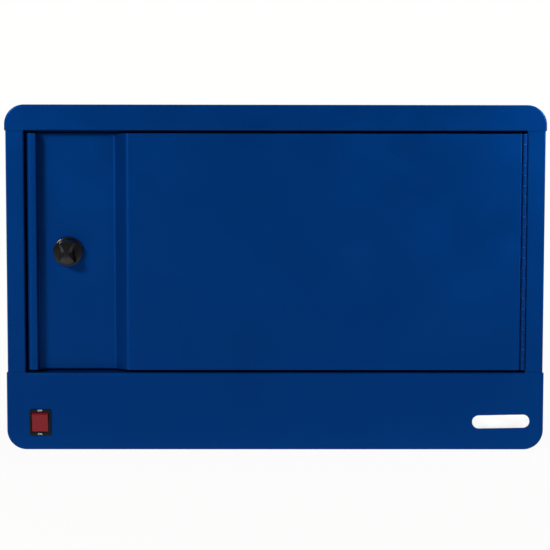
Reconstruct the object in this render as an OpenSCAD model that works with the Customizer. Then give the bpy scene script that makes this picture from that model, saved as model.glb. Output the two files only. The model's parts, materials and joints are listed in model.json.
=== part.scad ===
// Wall or table cabinet that stores and charges phones behind one door.
// Millimetres, Z up. The origin is the middle of the footprint on the base.
// X runs to the right seen from the front, and Y runs from the front to the back.

/* [Case] */
// Width over the cap and the pan
case_w = 630; // [600:1:700]
// Height over all
case_h = 404; // [396:1:440]
// Depth from the front plates to the rear edges
case_d = 226; // [222:1:260]
// Sheet thickness of the case and the door
sheet_t = 1.2; // [1:0.1:1.5]
// Radius of the four outer corners seen from the front
corner_r = 23; // [16:1:28]
// Height of the front plate of the top cap
cap_h = 30; // [29:1:36]
// Height of the front plate of the base pan
pan_h = 91; // [88:1:100]
// Width of the post on each side of the door
post_w = 21.3; // [20:0.1:24]
// How far the side panels reach down inside the pan
side_lap = 45; // [30:1:55]
// Width of the flanges that carry the back panel
flange_w = 15; // [13:1:18]
// How far the back panel sits in from the rear edges
back_recess = 3; // [2.6:0.1:5]
// Gap round the edge of the back panel
back_gap = 0.5; // [0.3:0.1:1]

/* [Door opening] */
// Distance from the front plates to the door stop
stop_back = 22; // [21:0.5:26]
// Width of the door stop on each post
stop_w = 13; // [12:0.5:15]
// Height of the door stop above the pan and below the cap
stop_lip = 10; // [9:0.5:12]

/* [Door] */
// Gap round the free edges of the door
door_gap = 3.3; // [2.8:0.1:4]
// How far the door skin lies behind the front plates
door_sink = 0.4; // [0.3:0.1:0.6]
// Depth of the bent edges of the door
return_d = 18; // [17.5:0.1:18.4]
// Width of the narrow strip left of the pocket
strip_w = 10.6; // [9:0.1:12]
// Width of the flat floor of the pocket
pocket_w = 90.5; // [84:0.5:110]
// Depth of the pocket, which is also the run of its slanted side
pocket_d = 15; // [14:0.1:15.2]
// Outer radius of the bends in the door skin
bend_out = 2.2; // [1.6:0.1:3]
// Width of the stiffening channel inside the door
stiff_w = 60; // [40:1:90]
// Depth of the stiffening channel
stiff_d = 12; // [8:0.5:13]

/* [Hinge] */
// Gap that the hinge fills between the door and the post
hinge_gap = 5.6; // [5.4:0.1:6.2]
// Outer diameter of the hinge knuckles
knuckle_d = 5; // [4.4:0.1:5]
// Length of one knuckle, before a whole odd number of them is fitted to the door
knuckle_len = 12; // [8:0.1:20]
// Diameter of the hinge pin
hinge_pin_d = 2.5; // [2:0.1:2.8]
// Width of each hinge leaf behind the axis
leaf_w = 14.3; // [13:0.1:15.5]
// Thickness of the hinge leaves
leaf_t = 1; // [0.8:0.1:1.1]

/* [Latch] */
// Distance of the latch axis from the left edge of the door
latch_in = 46.1; // [44:0.1:50]
// Diameter of the knob
knob_d = 34.5; // [32:0.5:40]
// Height of the knob above the pocket floor
knob_h = 21; // [18:0.5:26]
// Width of the grip bar at its waist
grip_w = 15.5; // [12:0.5:18]
// Diameter of the threaded latch barrel
barrel_d = 16; // [14:0.5:18]
// Diameter of the latch spindle
spindle_d = 8; // [7:0.5:9]
// Reach of the cam from the latch axis
cam_len = 46; // [44:0.5:48]
// Width of the cam
cam_w = 16; // [14:0.5:20]
// Thickness of the cam
cam_t = 2.5; // [2:0.1:3]

/* [Phone racks] */
// Number of phone slots on each tier
slots = 12; // [8:1:13]
// Height of the dividers
divider_h = 100; // [80:1:110]
// Thickness of the dividers
divider_t = 1.2; // [1:0.1:2]
// Radius of the front upper corner of a divider
divider_r = 30; // [15:1:40]
// Height of the bent front lip of the shelf
shelf_lip = 12; // [8:0.5:16]
// Leg of the angle brackets under the shelf and the deck
bracket_leg = 15; // [13:0.5:20]
// Depth of the port strips
strip_d = 20; // [18:0.5:22]
// Height of the port strips
strip_h = 24; // [20:0.5:28]
// Height of the strips above the floor of their tier
strip_up = 26; // [22:0.5:32]

/* [Power bay] */
// Width of a charger unit
charger_w = 190; // [150:1:195]
// Depth of a charger unit
charger_d = 110; // [90:1:120]
// Height of a charger unit
charger_h = 42; // [30:1:46]
// Height of the charger tray above the pan floor
tray_up = 7; // [6:0.5:9]
// Distance of the switch centre from the side of the case
switch_in = 39; // [38:0.5:41]
// Height of the switch centre above the base
switch_z = 32.5; // [30:0.5:40]
// Width of the switch bezel
bezel_w = 25.5; // [25:0.1:27]
// Height of the switch bezel
bezel_h = 31; // [30.5:0.1:33]
// Distance of the power inlet from the side of the case
inlet_in = 79; // [75:1:85]
// Height of the power inlet above the base
inlet_z = 42; // [40:1:46]

/* [Wall fixing] */
// Distance between the wall holes across the back
wall_dx = 520; // [480:1:530]
// Distance between the wall holes up the back
wall_dz = 150; // [140:1:160]
// Height of the lower wall holes above the base
wall_z = 180; // [176:1:184]
// Diameter of the wall holes
wall_hole_d = 7; // [6:0.5:9]

/* [Label] */
// Length of the blank label
label_w = 67.4; // [50:0.1:70]
// Height of the blank label
label_h = 15.5; // [12:0.1:20]
// Thickness of the blank label
label_t = 1.4; // [1:0.1:2]
// Distance of the label centre from the side of the case
label_in = 50; // [47:1:75]
// Height of the label centre above the base
label_z = 33.4; // [28:0.1:50]
// Tilt of the label, right end up, in degrees
label_tilt = 1; // [0:0.1:2]

/* [Hidden] */
$fn = 48;

// Colours
paint = "#02366F";
zinc = "#C9CCD1";
black = "#17181A";
red = "#8C2328";
white = "#F2F2EE";
rubber = "#202022";

// Clearances that the pieces share
fit = 0.1; // sliding fit of sheet in a slot
running = 0.08; // radial clearance of a turning pin
screw_gap = 0.15; // radial clearance of a screw in its hole
bump_gap = 0.3; // free gap between the door and its bumpers
far = 2000; // longer than the whole case
past = 1; // how far a cut runs past a face
join = 0.5; // how far joined shapes run into each other

// Planes and edges of the case
front_y = -case_d / 2;
back_y = case_d / 2;
post_y = front_y + sheet_t;
side_x = case_w / 2 - sheet_t;
side_in = side_x - sheet_t;
open_x = side_x - post_w;
cap_z = case_h - cap_h;
pan_z = pan_h;
stop_y = front_y + stop_back;
stop_back_y = stop_y + sheet_t;
lip_x = open_x - stop_w;
rear_y = back_y - back_recess - sheet_t;
flange_y = rear_y - sheet_t;
plate_y = rear_y + sheet_t;
side_low = pan_z - side_lap;
side_top = case_h - corner_r;

// Door planes, with the hinge axis half way across its gap
door_y = front_y + door_sink;
door_in_y = door_y + sheet_t;
door_left = -open_x + door_gap;
door_right = open_x - hinge_gap;
door_low = pan_z + door_gap;
door_top = cap_z - door_gap;
return_y = door_y + return_d;
pocket_left = door_left + strip_w;
pocket_right = pocket_left + pocket_w;
slope_right = pocket_right + pocket_d;
pocket_y = door_y + pocket_d;
hinge_x = open_x - hinge_gap / 2;
hinge_sink = 0.3;
hinge_y = door_y + hinge_sink;
hinge_end = 0.2;
hinge_low = door_low + hinge_end;
hinge_len = door_top - door_low - 2 * hinge_end;
knuckles = 2 * round((hinge_len / knuckle_len - 1) / 2) + 1;
knuckle_pitch = hinge_len / knuckles;
knuckle_gap = 0.2;
leaf_gap = 0.4;
leaf_clear = knuckle_d / 2 + leaf_gap;
leaf_back = hinge_gap / 2;
rivet_y = hinge_y + (leaf_clear + leaf_w) / 2;
rivet_d = 3;
rivet_head_d = 5;
rivet_head_t = 0.6;
rivet_n = 6;
rivet_end = 14;
stiff_x = (slope_right + door_right) / 2;
stiff_wing = 12;
stiff_end = 2;

// Latch stack along Y, from the knob to the cam screw
latch_x = door_left + latch_in;
latch_z = (door_low + door_top) / 2;
latch_flange_d = barrel_d + 8;
latch_flange_t = 1.5;
latch_washer_d = barrel_d + 10;
latch_washer_t = 1;
latch_nut_w = barrel_d + 6;
latch_nut_t = 4;
barrel_over = 0.6;
cam_gap = 0.5;
knob_crown = 6;
washer_y = pocket_y + sheet_t;
nut_y = washer_y + latch_washer_t;
barrel_end_y = nut_y + latch_nut_t + barrel_over;
cam_y = stop_back_y + cam_gap;
spindle_front_y = pocket_y - knob_h + knob_crown;
knob_lift = 0.5;
knob_back_y = pocket_y - knob_lift;
skirt_h = 6;
knob_rim = 1.2;
grip_r = knob_d / 2 - 2;
grip_draft = 1;
grip_edge = 2.5;
scoop_r = knob_d;
cam_square = spindle_d * 0.7;
cam_corner = 3;
cam_screw_d = 4;
cam_screw_flange_d = cam_w * 0.75;
cam_screw_flange_t = 1;
cam_screw_head_w = 7;
cam_screw_head_t = 3;
cam_screw_depth = 3;

// Tiers, slots and dividers
deck_z = pan_z - sheet_t;
tier_h = (cap_z - deck_z) / 2;
shelf_z = deck_z + tier_h;
slot_pitch = 2 * lip_x / slots;
aisle = 12;
shelf_front = stop_back_y + aisle;
strip_y = rear_y - strip_d;
divider_inset = 3;
divider_front = shelf_front + divider_inset;
divider_room = 5;
divider_back = strip_y - divider_room;
shelf_room = 2;
shelf_back = strip_y - shelf_room;
deck_inset = 9;
deck_front = front_y + deck_inset;
tab_len = 14;
tab_in = 18;
strip_over = 6;
strip_x = lip_x + strip_over;
strip_lip = 8;
port_w = 14;
port_h = 7;
port_d = 14;
port_wall = 1;
port_back = 3;
port_rim = 1;
port_rim_t = 0.8;
tongue_w = 10.6;
tongue_t = 1.8;
strip_screw_up = strip_up + strip_h + strip_lip / 2;
bracket_gap = 4;
bracket_end = 12;
bracket_screws = 3;
deck_bracket_front = shelf_front + bracket_gap;
shelf_bracket_front = shelf_front + sheet_t + bracket_gap;
shelf_bracket_back = shelf_back - bracket_gap;

// Screws
screw_d = 4;
screw_head_d = 7.4;
screw_head_t = 2;
screw_len = 7;
recess_l = 4;
recess_w = 0.8;
recess_d = 0.9;
small_screw_d = 3;
small_head_d = 5.8;
small_head_t = 1.4;
small_recess_l = 2.8;
back_cols = 4;
back_rows = 3;
back_screw_in = 63;
back_screw_end = 40;
strip_screw_n = 4;
strip_screw_in = 39;

// Back panel
pad_rim = 8.4;
vent_w = 4;
vent_h = 34;
vent_pitch = 11;
vent_n = 14;
vent_x = [for (i = [0:vent_n - 1]) (i - (vent_n - 1) / 2) * vent_pitch];

// Power inlet seen from the rear
inlet_x = case_w / 2 - inlet_in;
inlet_w = 27;
inlet_h = 20;
inlet_flange_w = 50;
inlet_flange_h = 23;
inlet_flange_r = 6;
inlet_flange_t = 2.5;
inlet_screw_dx = 40;
inlet_screw_len = 8;
inlet_depth = 17;
inlet_wall = 2;
tab_w = 6.3;
tab_t = 0.8;
tab_out = 8;
pin_w = 5;
pin_up = 11;
inlet_tab_dx = 7;
inlet_tab_dz = 5;
inlet_tab_places = [[-inlet_tab_dx, -inlet_tab_dz], [inlet_tab_dx, -inlet_tab_dz], [0, inlet_tab_dz]];

// Power bay
floor_z = sheet_t;
tray_t = 1.5;
earth_in = 2;
earth_x = -inlet_x + earth_in;
earth_y = 30;
tray_gap = 10;
tray_end = 8;
tray_margin = 17;
tray_x0 = earth_x + tray_gap;
tray_x1 = open_x - tray_end;
tray_d = charger_d + 2 * tray_margin;
tray_z = floor_z + tray_up;
tray_top = tray_z + tray_t;
stud_d = 4;
stud_h = 11;
stud_in = 8;
stud_nut_w = 7;
stud_nut_t = 3.2;
charger_gap = 22;
charger_end = 6;
charger_right_x = tray_x1 - charger_w / 2 - charger_end;
charger_left_x = charger_right_x - charger_w - charger_gap;
ear_w = 16;
ear_l = 10;
ear_t = 3;
ear_in = 6;
rib_n = 11;
rib_w = 4;
rib_depth = 1.5;
rib_end = 10;
block_end = 6;
block_w = 26;
block_d = 34;
block_h = 17;
block_x = tray_x0 + block_end + block_w / 2;
block_y = 0;
block_z = tray_top + block_h / 2;
block_pitch = 9;
block_bore = 4.6;
block_bore_len = block_d / 4;
block_fix = 12;
block_shaft = 4;
block_screw_out = 2;
clamp_screw_d = 3.8;
clamp_screw_h = 3;

// Rocker switch
switch_x = case_w / 2 - switch_in;
bezel_r = 1.5;
bezel_t = 2;
bezel_lap_w = 1.65;
bezel_lap_h = 1.5;
bezel_rim_w = 3.05;
bezel_rim_h = 3.7;
cut_w = bezel_w - 2 * bezel_lap_w;
cut_h = bezel_h - 2 * bezel_lap_h;
body_depth = 24;
rocker_open_w = bezel_w - 2 * bezel_rim_w;
rocker_open_h = bezel_h - 2 * bezel_rim_h;
rocker_gap = 0.4;
rocker_end_gap = 0.3;
rocker_pivot_in = 2;
rocker_r = rocker_open_h / 2 - rocker_end_gap;
rocker_y = front_y + rocker_pivot_in;
rocker_tilt = 9;
rocker_valley = 4.2;
rocker_back = 6;
rocker_pin_d = 3;
rocker_pin_len = 1.2;
rocker_pin_gap = 0.3;
rocker_wall = 2.8;
rocker_face = 3;
well_depth = 14.5;
switch_tab_dx = 5;
switch_tab_dz = 6;
switch_tab_in = 4;
lamp_d = 5;
lamp_h = 6;

// Wires, each with round numbers chosen for its corners
wire_d = 2.6;
loom_d = 7;
lead_d = 4;
bend_r = 9;
bend_steps = 4;
fold_steps = 5;
channel_x = (lip_x + side_in) / 2;
channel_y = rear_y - strip_d / 2;
sleeve_w = 8;
sleeve_h = 4.4;
sleeve_len = 14;
sleeve_out = 0.2;
sleeve_slack = 0.4;
clip_t = 1;
clip_h = 8;
clip_up = 14;
clip_mid = 80;
label_edge = 0.6;
label_x = case_w / 2 - label_in;
ring_d = 9;
ring_t = 1;
sleeve_end_y = front_y + body_depth + sleeve_len;
inlet_end_y = plate_y - inlet_depth - sleeve_len;
block_in_y = block_y + block_d / 2 - block_bore_len;
block_out_y = block_y - block_d / 2 + block_bore_len;
feed_bend_y = 40;
feed_turn_y = 0;
return_straight = 15;
return_step = 4;
return_run = 28;
earth_straight = 18;
earth_drop = 22;
earth_end = 5;
lead_y = 34;
lead_straight = 8;
lead_run = 10;
loom_low_run_z = 60;
loom_high_run_z = 70;
loom_low_x = 30;
loom_high_x = 40;
loom_turn = 36;
loom_end = 3;

// Basic helpers

module slab(low, high) {
    translate(low)
        cube(high - low);
}

// Outline in X and Z, pushed along Y
module along_y(y0, y1) {
    translate([0, y1, 0])
        rotate([90, 0, 0])
            linear_extrude(y1 - y0)
                children();
}

// Outline in Y and Z, pushed along X
module along_x(x0, x1) {
    translate([x0, 0, 0])
        rotate([90, 0, 90])
            linear_extrude(x1 - x0)
                children();
}

module round_rect(w, h, r) {
    square([w - 2 * r, h], center = true);
    square([w, h - 2 * r], center = true);
    for (sx = [-1, 1], sz = [-1, 1])
        translate([sx * (w / 2 - r), sz * (h / 2 - r)])
            circle(r);
}

// Front outline of the case, drawn in by inset
module case_outline(inset) {
    translate([0, case_h / 2])
        round_rect(case_w - 2 * inset, case_h - 2 * inset, corner_r - inset, $fn = 96);
}

module case_band(outer, inner) {
    difference() {
        case_outline(outer);
        case_outline(inner);
    }
}

// Row of n places from low to high
function between(n, low, high) = [for (i = [0:n - 1]) low + (high - low) * i / (n - 1)];

// Row of n places from -span to +span
function spread(n, span) = between(n, -span, span);

// Cross recess cut into a head whose top is at z
module cross_recess(z, len) {
    for (a = [0, 90])
        rotate([0, 0, a])
            translate([-len / 2, -recess_w / 2, z - recess_d])
                cube([len, recess_w, recess_d + past]);
}

// Pan-head screw along Z: the head stands on the origin, and the shank runs down from it
module screw(len) {
    difference() {
        union() {
            cylinder(d1 = screw_head_d, d2 = screw_head_d * 0.72, h = screw_head_t, $fn = 32);
            translate([0, 0, -len])
                cylinder(d = screw_d, h = len + join, $fn = 24);
        }
        cross_recess(screw_head_t, recess_l);
    }
}

// Countersunk screw along Z: the flat of the head is at the origin, and the screw runs down from it
module sunk_screw(len) {
    difference() {
        union() {
            translate([0, 0, -small_head_t])
                cylinder(d1 = small_screw_d, d2 = small_head_d, h = small_head_t, $fn = 32);
            translate([0, 0, -len])
                cylinder(d = small_screw_d, h = len - small_head_t + join / 2, $fn = 24);
        }
        cross_recess(0, small_recess_l);
    }
}

// Hole for a countersunk screw, along Z
module sunk_hole(len) {
    translate([0, 0, -small_head_t])
        cylinder(d1 = small_screw_d + 2 * screw_gap, d2 = small_head_d + 2 * screw_gap,
                 h = small_head_t + fit, $fn = 32);
    translate([0, 0, -len])
        cylinder(d = small_screw_d + 2 * screw_gap, h = len, $fn = 32);
    cylinder(d = small_head_d + 2 * screw_gap, h = past, $fn = 32);
}

module hole_y(x, z, d, y0, y1) {
    translate([x, y1, z])
        rotate([90, 0, 0])
            cylinder(d = d, h = y1 - y0, $fn = 32);
}

module hole_z(x, y, d, z0, z1) {
    translate([x, y, z0])
        cylinder(d = d, h = z1 - z0, $fn = 32);
}

// Path helpers: corners rounded with short arcs, and a tube swept along them

function unit(v) = v / norm(v);

function half_angle(a, b, c) = acos(unit(a - b) * unit(c - b)) / 2;

// Arc that replaces the corner b, starting and ending at the distance reach from it
function corner_arc(a, b, c, reach, steps) =
    let (u = unit(a - b), v = unit(c - b), half = half_angle(a, b, c))
    let (r = reach * tan(half), o = b + unit(u + v) * (reach / cos(half)))
    let (s = unit(b + u * reach - o), e = unit(b + v * reach - o), turn = 180 - 2 * half)
    [for (i = [0:steps])
        let (t = i / steps)
        o + r * (sin((1 - t) * turn) * s + sin(t * turn) * e) / sin(turn)];

// Reach of a wire's bend, shorter where the stretches beside it are short
function wire_reach(a, b, c) = min(bend_r, norm(a - b) * 0.45, norm(c - b) * 0.45);

function rounded_path(p) = concat(
    [p[0]],
    [for (i = [1:len(p) - 2])
        each corner_arc(p[i - 1], p[i], p[i + 1], wire_reach(p[i - 1], p[i], p[i + 1]), bend_steps)],
    [p[len(p) - 1]]
);

// Closed outline from rows of x, y and the radius of that corner, where 0 keeps it sharp
function rounded_plan(rows) =
    let (n = len(rows), p = [for (row = rows) [row[0], row[1]]])
    [for (i = [0:n - 1])
        let (a = p[(i + n - 1) % n], b = p[i], c = p[(i + 1) % n], r = rows[i][2])
        each r == 0 ? [b] : corner_arc(a, b, c, r / tan(half_angle(a, b, c)), fold_steps)];

function path_tangents(p) = [
    for (i = [0:len(p) - 1])
        unit(i == 0 ? p[1] - p[0]
            : i == len(p) - 1 ? p[i] - p[i - 1]
            : unit(p[i + 1] - p[i]) + unit(p[i] - p[i - 1]))
];

// Side vector carried along the path, so that the tube doesn't twist
function path_sides(t, i, prev) =
    i == len(t) ? []
    : let (s = unit(prev - (prev * t[i]) * t[i])) concat([s], path_sides(t, i + 1, s));

module tube(corners, d, sides = 8) {
    p = rounded_path(corners);
    t = path_tangents(p);
    first = abs(t[0][2]) < 0.9 ? cross(t[0], [0, 0, 1]) : cross(t[0], [1, 0, 0]);
    s = path_sides(t, 0, unit(first));
    rings = [
        for (i = [0:len(p) - 1]) for (k = [0:sides - 1])
            p[i] + d / 2 * (cos(360 * k / sides) * s[i] + sin(360 * k / sides) * cross(t[i], s[i]))
    ];
    last = (len(p) - 1) * sides;
    walls = [
        for (i = [0:len(p) - 2]) for (k = [0:sides - 1])
            let (a = i * sides + k, b = i * sides + (k + 1) % sides)
            each [[a, b, b + sides], [a, b + sides, a + sides]]
    ];
    caps = [[for (k = [0:sides - 1]) sides - 1 - k], [for (k = [0:sides - 1]) last + k]];
    polyhedron(points = rings, faces = [for (f = concat(walls, caps)) [for (j = [len(f) - 1:-1:0]) f[j]]]);
}

// Positions shared by screws and their holes

back_screw_top = case_h - flange_w / 2 - sheet_t;
back_screw_low = flange_w / 2 + sheet_t;
back_screw_side = side_x - flange_w / 2;
back_places = concat(
    [for (x = spread(back_cols, side_x - back_screw_in)) each [[x, back_screw_low], [x, back_screw_top]]],
    [for (z = between(back_rows, pan_z + back_screw_end, cap_z - back_screw_end)) each
        [[-back_screw_side, z], [back_screw_side, z]]]
);
strip_screw_x = spread(strip_screw_n, lip_x - strip_screw_in);
wall_places = [for (sx = [-1, 1], k = [0, 1]) [sx * wall_dx / 2, wall_z + k * wall_dz]];
bracket_x = side_in - bracket_leg / 2;
deck_bracket_back = channel_y - loom_d - past;
deck_screw_y = between(bracket_screws, deck_bracket_front + bracket_end, deck_bracket_back - bracket_end);
shelf_screw_y = between(bracket_screws, shelf_bracket_front + bracket_end, shelf_bracket_back - bracket_end);
divider_x = [for (i = [0:slots]) -lip_x + i * slot_pitch];
slot_x = [for (i = [0:slots - 1]) -lip_x + (i + 0.5) * slot_pitch];
rivet_z = between(rivet_n, hinge_low + rivet_end, hinge_low + hinge_len - rivet_end);
bumper_d = 7;
bumper_stem_d = 3;
bumper_stem_out = 0.8;
bumper_end = 45;
bumper_side_x = -open_x + stop_w / 2;
bumper_places = [
    [bumper_side_x, pan_z + bumper_end], [bumper_side_x, cap_z - bumper_end],
    [lip_x / 2, pan_z + stop_lip / 2], [lip_x / 2, cap_z - stop_lip / 2]
];
tray_studs = [
    for (x = [tray_x0 + stud_in, tray_x1 - stud_in], sy = [-1, 1]) [x, sy * (tray_d / 2 - stud_in)]
];
charger_ears = [
    for (cx = [charger_left_x, charger_right_x], sx = [-1, 1], sy = [-1, 1])
        [cx + sx * (charger_w / 2 - ear_w / 2 - ear_in), sy * (charger_d / 2 + ear_l / 2)]
];
block_fixings = [
    for (s = [-1, 1]) [block_x + s * block_pitch / 2, block_y + s * block_fix]
];

// Case shell

module rear_screw_holes() {
    for (p = back_places)
        hole_y(p[0], p[1], screw_d + 2 * screw_gap, flange_y - past, plate_y + past);
}

// Bent tray shared by the cap and the pan: front plate, wrap and rear flange
module shell_tray() {
    along_y(front_y, front_y + sheet_t)
        case_outline(0);
    along_y(front_y, back_y)
        case_band(0, sheet_t);
    along_y(flange_y, rear_y)
        case_band(sheet_t / 2, flange_w);
}

module bumper_holes() {
    for (p = bumper_places)
        hole_y(p[0], p[1], bumper_stem_d + 2 * fit, stop_y - past, stop_back_y + past);
}

module top_cap() {
    color(paint)
        difference() {
            union() {
                intersection() {
                    shell_tray();
                    slab([-far, -far, cap_z], [far, far, far]);
                }
                slab([-open_x, front_y, cap_z], [open_x, stop_back_y, cap_z + sheet_t]);
                slab([-lip_x, stop_y, cap_z - stop_lip], [lip_x, stop_back_y, cap_z + sheet_t]);
            }
            rear_screw_holes();
            bumper_holes();
        }
}

module base_pan() {
    color(paint)
        difference() {
            union() {
                intersection() {
                    shell_tray();
                    slab([-far, -far, -far], [far, far, pan_z]);
                }
                slab([-open_x, front_y, deck_z], [open_x, stop_back_y, pan_z]);
                slab([-lip_x, stop_y, deck_z], [lip_x, stop_back_y, pan_z + stop_lip]);
                for (p = tray_studs)
                    hole_z(p[0], p[1], stud_d, floor_z / 2, floor_z + stud_h + tray_up);
                hole_z(earth_x, earth_y, stud_d, floor_z / 2, floor_z + stud_h);
            }
            rear_screw_holes();
            bumper_holes();
            slab([-switch_x - cut_w / 2 - fit, front_y - past, switch_z - cut_h / 2 - fit],
                 [-switch_x + cut_w / 2 + fit, post_y + past, switch_z + cut_h / 2 + fit]);
        }
}

// Side panel drawn on the right: wall, post face, bent return, door stop and rear flange
module side_panel() {
    difference() {
        union() {
            slab([side_in, post_y, side_low], [side_x, flange_y, side_top]);
            slab([side_in, flange_y - past, pan_z], [side_x, back_y, cap_z]);
            intersection() {
                slab([open_x, post_y, side_low], [side_x, post_y + sheet_t, case_h]);
                along_y(front_y, back_y)
                    case_outline(sheet_t);
            }
            slab([open_x, post_y, pan_z], [open_x + sheet_t, stop_back_y, cap_z]);
            slab([lip_x, stop_y, pan_z], [open_x + sheet_t, stop_back_y, cap_z]);
            slab([side_x - flange_w, flange_y, pan_z], [side_x, rear_y, cap_z]);
        }
        rear_screw_holes();
    }
}

module left_side() {
    color(paint)
        difference() {
            mirror([1, 0, 0])
                side_panel();
            bumper_holes();
        }
}

module right_side() {
    color(paint)
        difference() {
            side_panel();
            for (z = rivet_z)
                rivet_hole(z);
        }
}

module vent_slot(x, z, h) {
    translate([x, z])
        round_rect(vent_w, h, vent_w / 2 - 0.01, $fn = 24);
}

module back_panel() {
    color(paint)
        difference() {
            along_y(rear_y, plate_y)
                difference() {
                    case_outline(2 * sheet_t + back_gap);
                    for (x = vent_x) {
                        vent_slot(x + charger_left_x, pan_z / 2, vent_h);
                        vent_slot(x + charger_right_x, pan_z / 2, vent_h);
                        vent_slot(x, cap_z - vent_h / 2, vent_h / 2);
                    }
                    translate([-inlet_x, inlet_z])
                        square([inlet_w + 2 * fit, inlet_h + 2 * fit], center = true);
                }
            rear_screw_holes();
            for (p = wall_places)
                hole_y(p[0], p[1], wall_hole_d, rear_y - past, plate_y + past);
            for (x = strip_screw_x, z = [deck_z, shelf_z])
                hole_y(x, z + strip_screw_up, screw_d + 2 * screw_gap, rear_y - past, plate_y + past);
            for (sx = [-1, 1])
                hole_y(-inlet_x + sx * inlet_screw_dx / 2, inlet_z, small_screw_d + 2 * screw_gap,
                       rear_y - past, plate_y + past);
        }
}

module wall_pads() {
    color(zinc)
        for (p = wall_places)
            difference() {
                hole_y(p[0], p[1], wall_hole_d + 2 * pad_rim, plate_y, back_y);
                hole_y(p[0], p[1], wall_hole_d, plate_y - past, back_y + past);
            }
}

module back_screws() {
    color(zinc)
        for (p = back_places)
            translate([p[0], plate_y, p[1]])
                rotate([-90, 0, 0])
                    screw(screw_len);
}

// Phone racks

module bracket(top_z, y0, y1, screw_y) {
    difference() {
        union() {
            slab([side_in - sheet_t, y0, top_z - bracket_leg], [side_in, y1, top_z]);
            slab([side_in - bracket_leg, y0, top_z - sheet_t], [side_in, y1, top_z]);
        }
        for (y = screw_y)
            hole_z(bracket_x, y, screw_d + 2 * screw_gap, top_z - sheet_t - past, top_z + past);
    }
}

module deck_bracket() {
    bracket(deck_z - sheet_t, deck_bracket_front, deck_bracket_back, deck_screw_y);
}

module shelf_bracket() {
    bracket(shelf_z - sheet_t, shelf_bracket_front, shelf_bracket_back, shelf_screw_y);
}

module deck_bracket_left() {
    color(paint)
        mirror([1, 0, 0])
            deck_bracket();
}

module deck_bracket_right() {
    color(paint)
        deck_bracket();
}

module shelf_bracket_left() {
    color(paint)
        mirror([1, 0, 0])
            shelf_bracket();
}

module shelf_bracket_right() {
    color(paint)
        shelf_bracket();
}

// Slots for the tabs of the dividers in a floor whose top is at z
module tab_slots(z) {
    for (x = divider_x, y = [divider_front + tab_in, divider_back - tab_in - tab_len])
        slab([x - divider_t / 2 - fit, y - fit, z - sheet_t - past],
             [x + divider_t / 2 + fit, y + tab_len + fit, z + past]);
}

module bay_deck() {
    color(paint)
        difference() {
            slab([-side_in, deck_front, deck_z - sheet_t], [side_in, flange_y, deck_z]);
            tab_slots(deck_z);
            for (sx = [-1, 1]) {
                slab([sx * channel_x - loom_d, channel_y - loom_d, deck_z - sheet_t - past],
                     [sx * channel_x + loom_d, channel_y + loom_d, deck_z + past]);
                for (y = deck_screw_y)
                    hole_z(sx * bracket_x, y, screw_d + 2 * screw_gap, deck_z - sheet_t - past,
                           deck_z + past);
            }
        }
}

module mid_shelf() {
    color(paint)
        difference() {
            union() {
                slab([-side_in, shelf_front, shelf_z - sheet_t], [side_in, shelf_back, shelf_z]);
                for (y = [shelf_front, shelf_back - sheet_t])
                    slab([-side_in, y, shelf_z - shelf_lip], [side_in, y + sheet_t, shelf_z]);
            }
            tab_slots(shelf_z);
            for (sx = [-1, 1], y = shelf_screw_y)
                hole_z(sx * bracket_x, y, screw_d + 2 * screw_gap, shelf_z - sheet_t - past,
                       shelf_z + past);
        }
}

module shelf_screws() {
    color(zinc)
        for (sx = [-1, 1]) {
            for (y = deck_screw_y)
                translate([sx * bracket_x, y, deck_z])
                    screw(screw_len);
            for (y = shelf_screw_y)
                translate([sx * bracket_x, y, shelf_z])
                    screw(screw_len);
        }
}

// Divider in Y and Z: a plate with a round front upper corner and two tabs below
module divider_outline(z) {
    translate([divider_front, z])
        square([divider_back - divider_front, divider_h - divider_r]);
    translate([divider_front + divider_r, z])
        square([divider_back - divider_front - divider_r, divider_h]);
    translate([divider_front + divider_r, z + divider_h - divider_r])
        circle(divider_r, $fn = 64);
    for (y = [divider_front + tab_in, divider_back - tab_in - tab_len])
        translate([y, z - sheet_t])
            square([tab_len, sheet_t + join]);
}

module dividers(z) {
    for (x = divider_x)
        along_x(x - divider_t / 2, x + divider_t / 2)
            divider_outline(z);
}

module lower_dividers() {
    color(paint)
        dividers(deck_z);
}

module upper_dividers() {
    color(paint)
        dividers(shelf_z);
}

// Channel open to the back, with a lip above and below for its screws
module port_strip(z) {
    low = z + strip_up;
    difference() {
        union() {
            difference() {
                slab([-strip_x, strip_y, low], [strip_x, rear_y, low + strip_h]);
                slab([-strip_x + sheet_t, strip_y + sheet_t, low + sheet_t],
                     [strip_x - sheet_t, rear_y + past, low + strip_h - sheet_t]);
            }
            slab([-strip_x, flange_y, low + strip_h - sheet_t],
                 [strip_x, rear_y, low + strip_h + strip_lip]);
            slab([-strip_x, flange_y, low - strip_lip], [strip_x, rear_y, low + sheet_t]);
        }
        for (x = slot_x)
            slab([x - port_w / 2 - fit, strip_y - past, low + strip_h / 2 - port_h / 2 - fit],
                 [x + port_w / 2 + fit, strip_y + sheet_t + past, low + strip_h / 2 + port_h / 2 + fit]);
        for (x = strip_screw_x)
            hole_y(x, z + strip_screw_up, screw_d + 2 * screw_gap, flange_y - past, rear_y + past);
        for (sx = [-1, 1])
            slab([sx * (strip_x - sheet_t / 2) - sheet_t, channel_y - loom_d / 2 - fit,
                  low + strip_h / 2 - loom_d / 2 - fit],
                 [sx * (strip_x - sheet_t / 2) + sheet_t, channel_y + loom_d / 2 + fit,
                  low + strip_h / 2 + loom_d / 2 + fit]);
    }
}

module lower_port_strip() {
    color(paint)
        port_strip(deck_z);
}

module upper_port_strip() {
    color(paint)
        port_strip(shelf_z);
}

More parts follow.
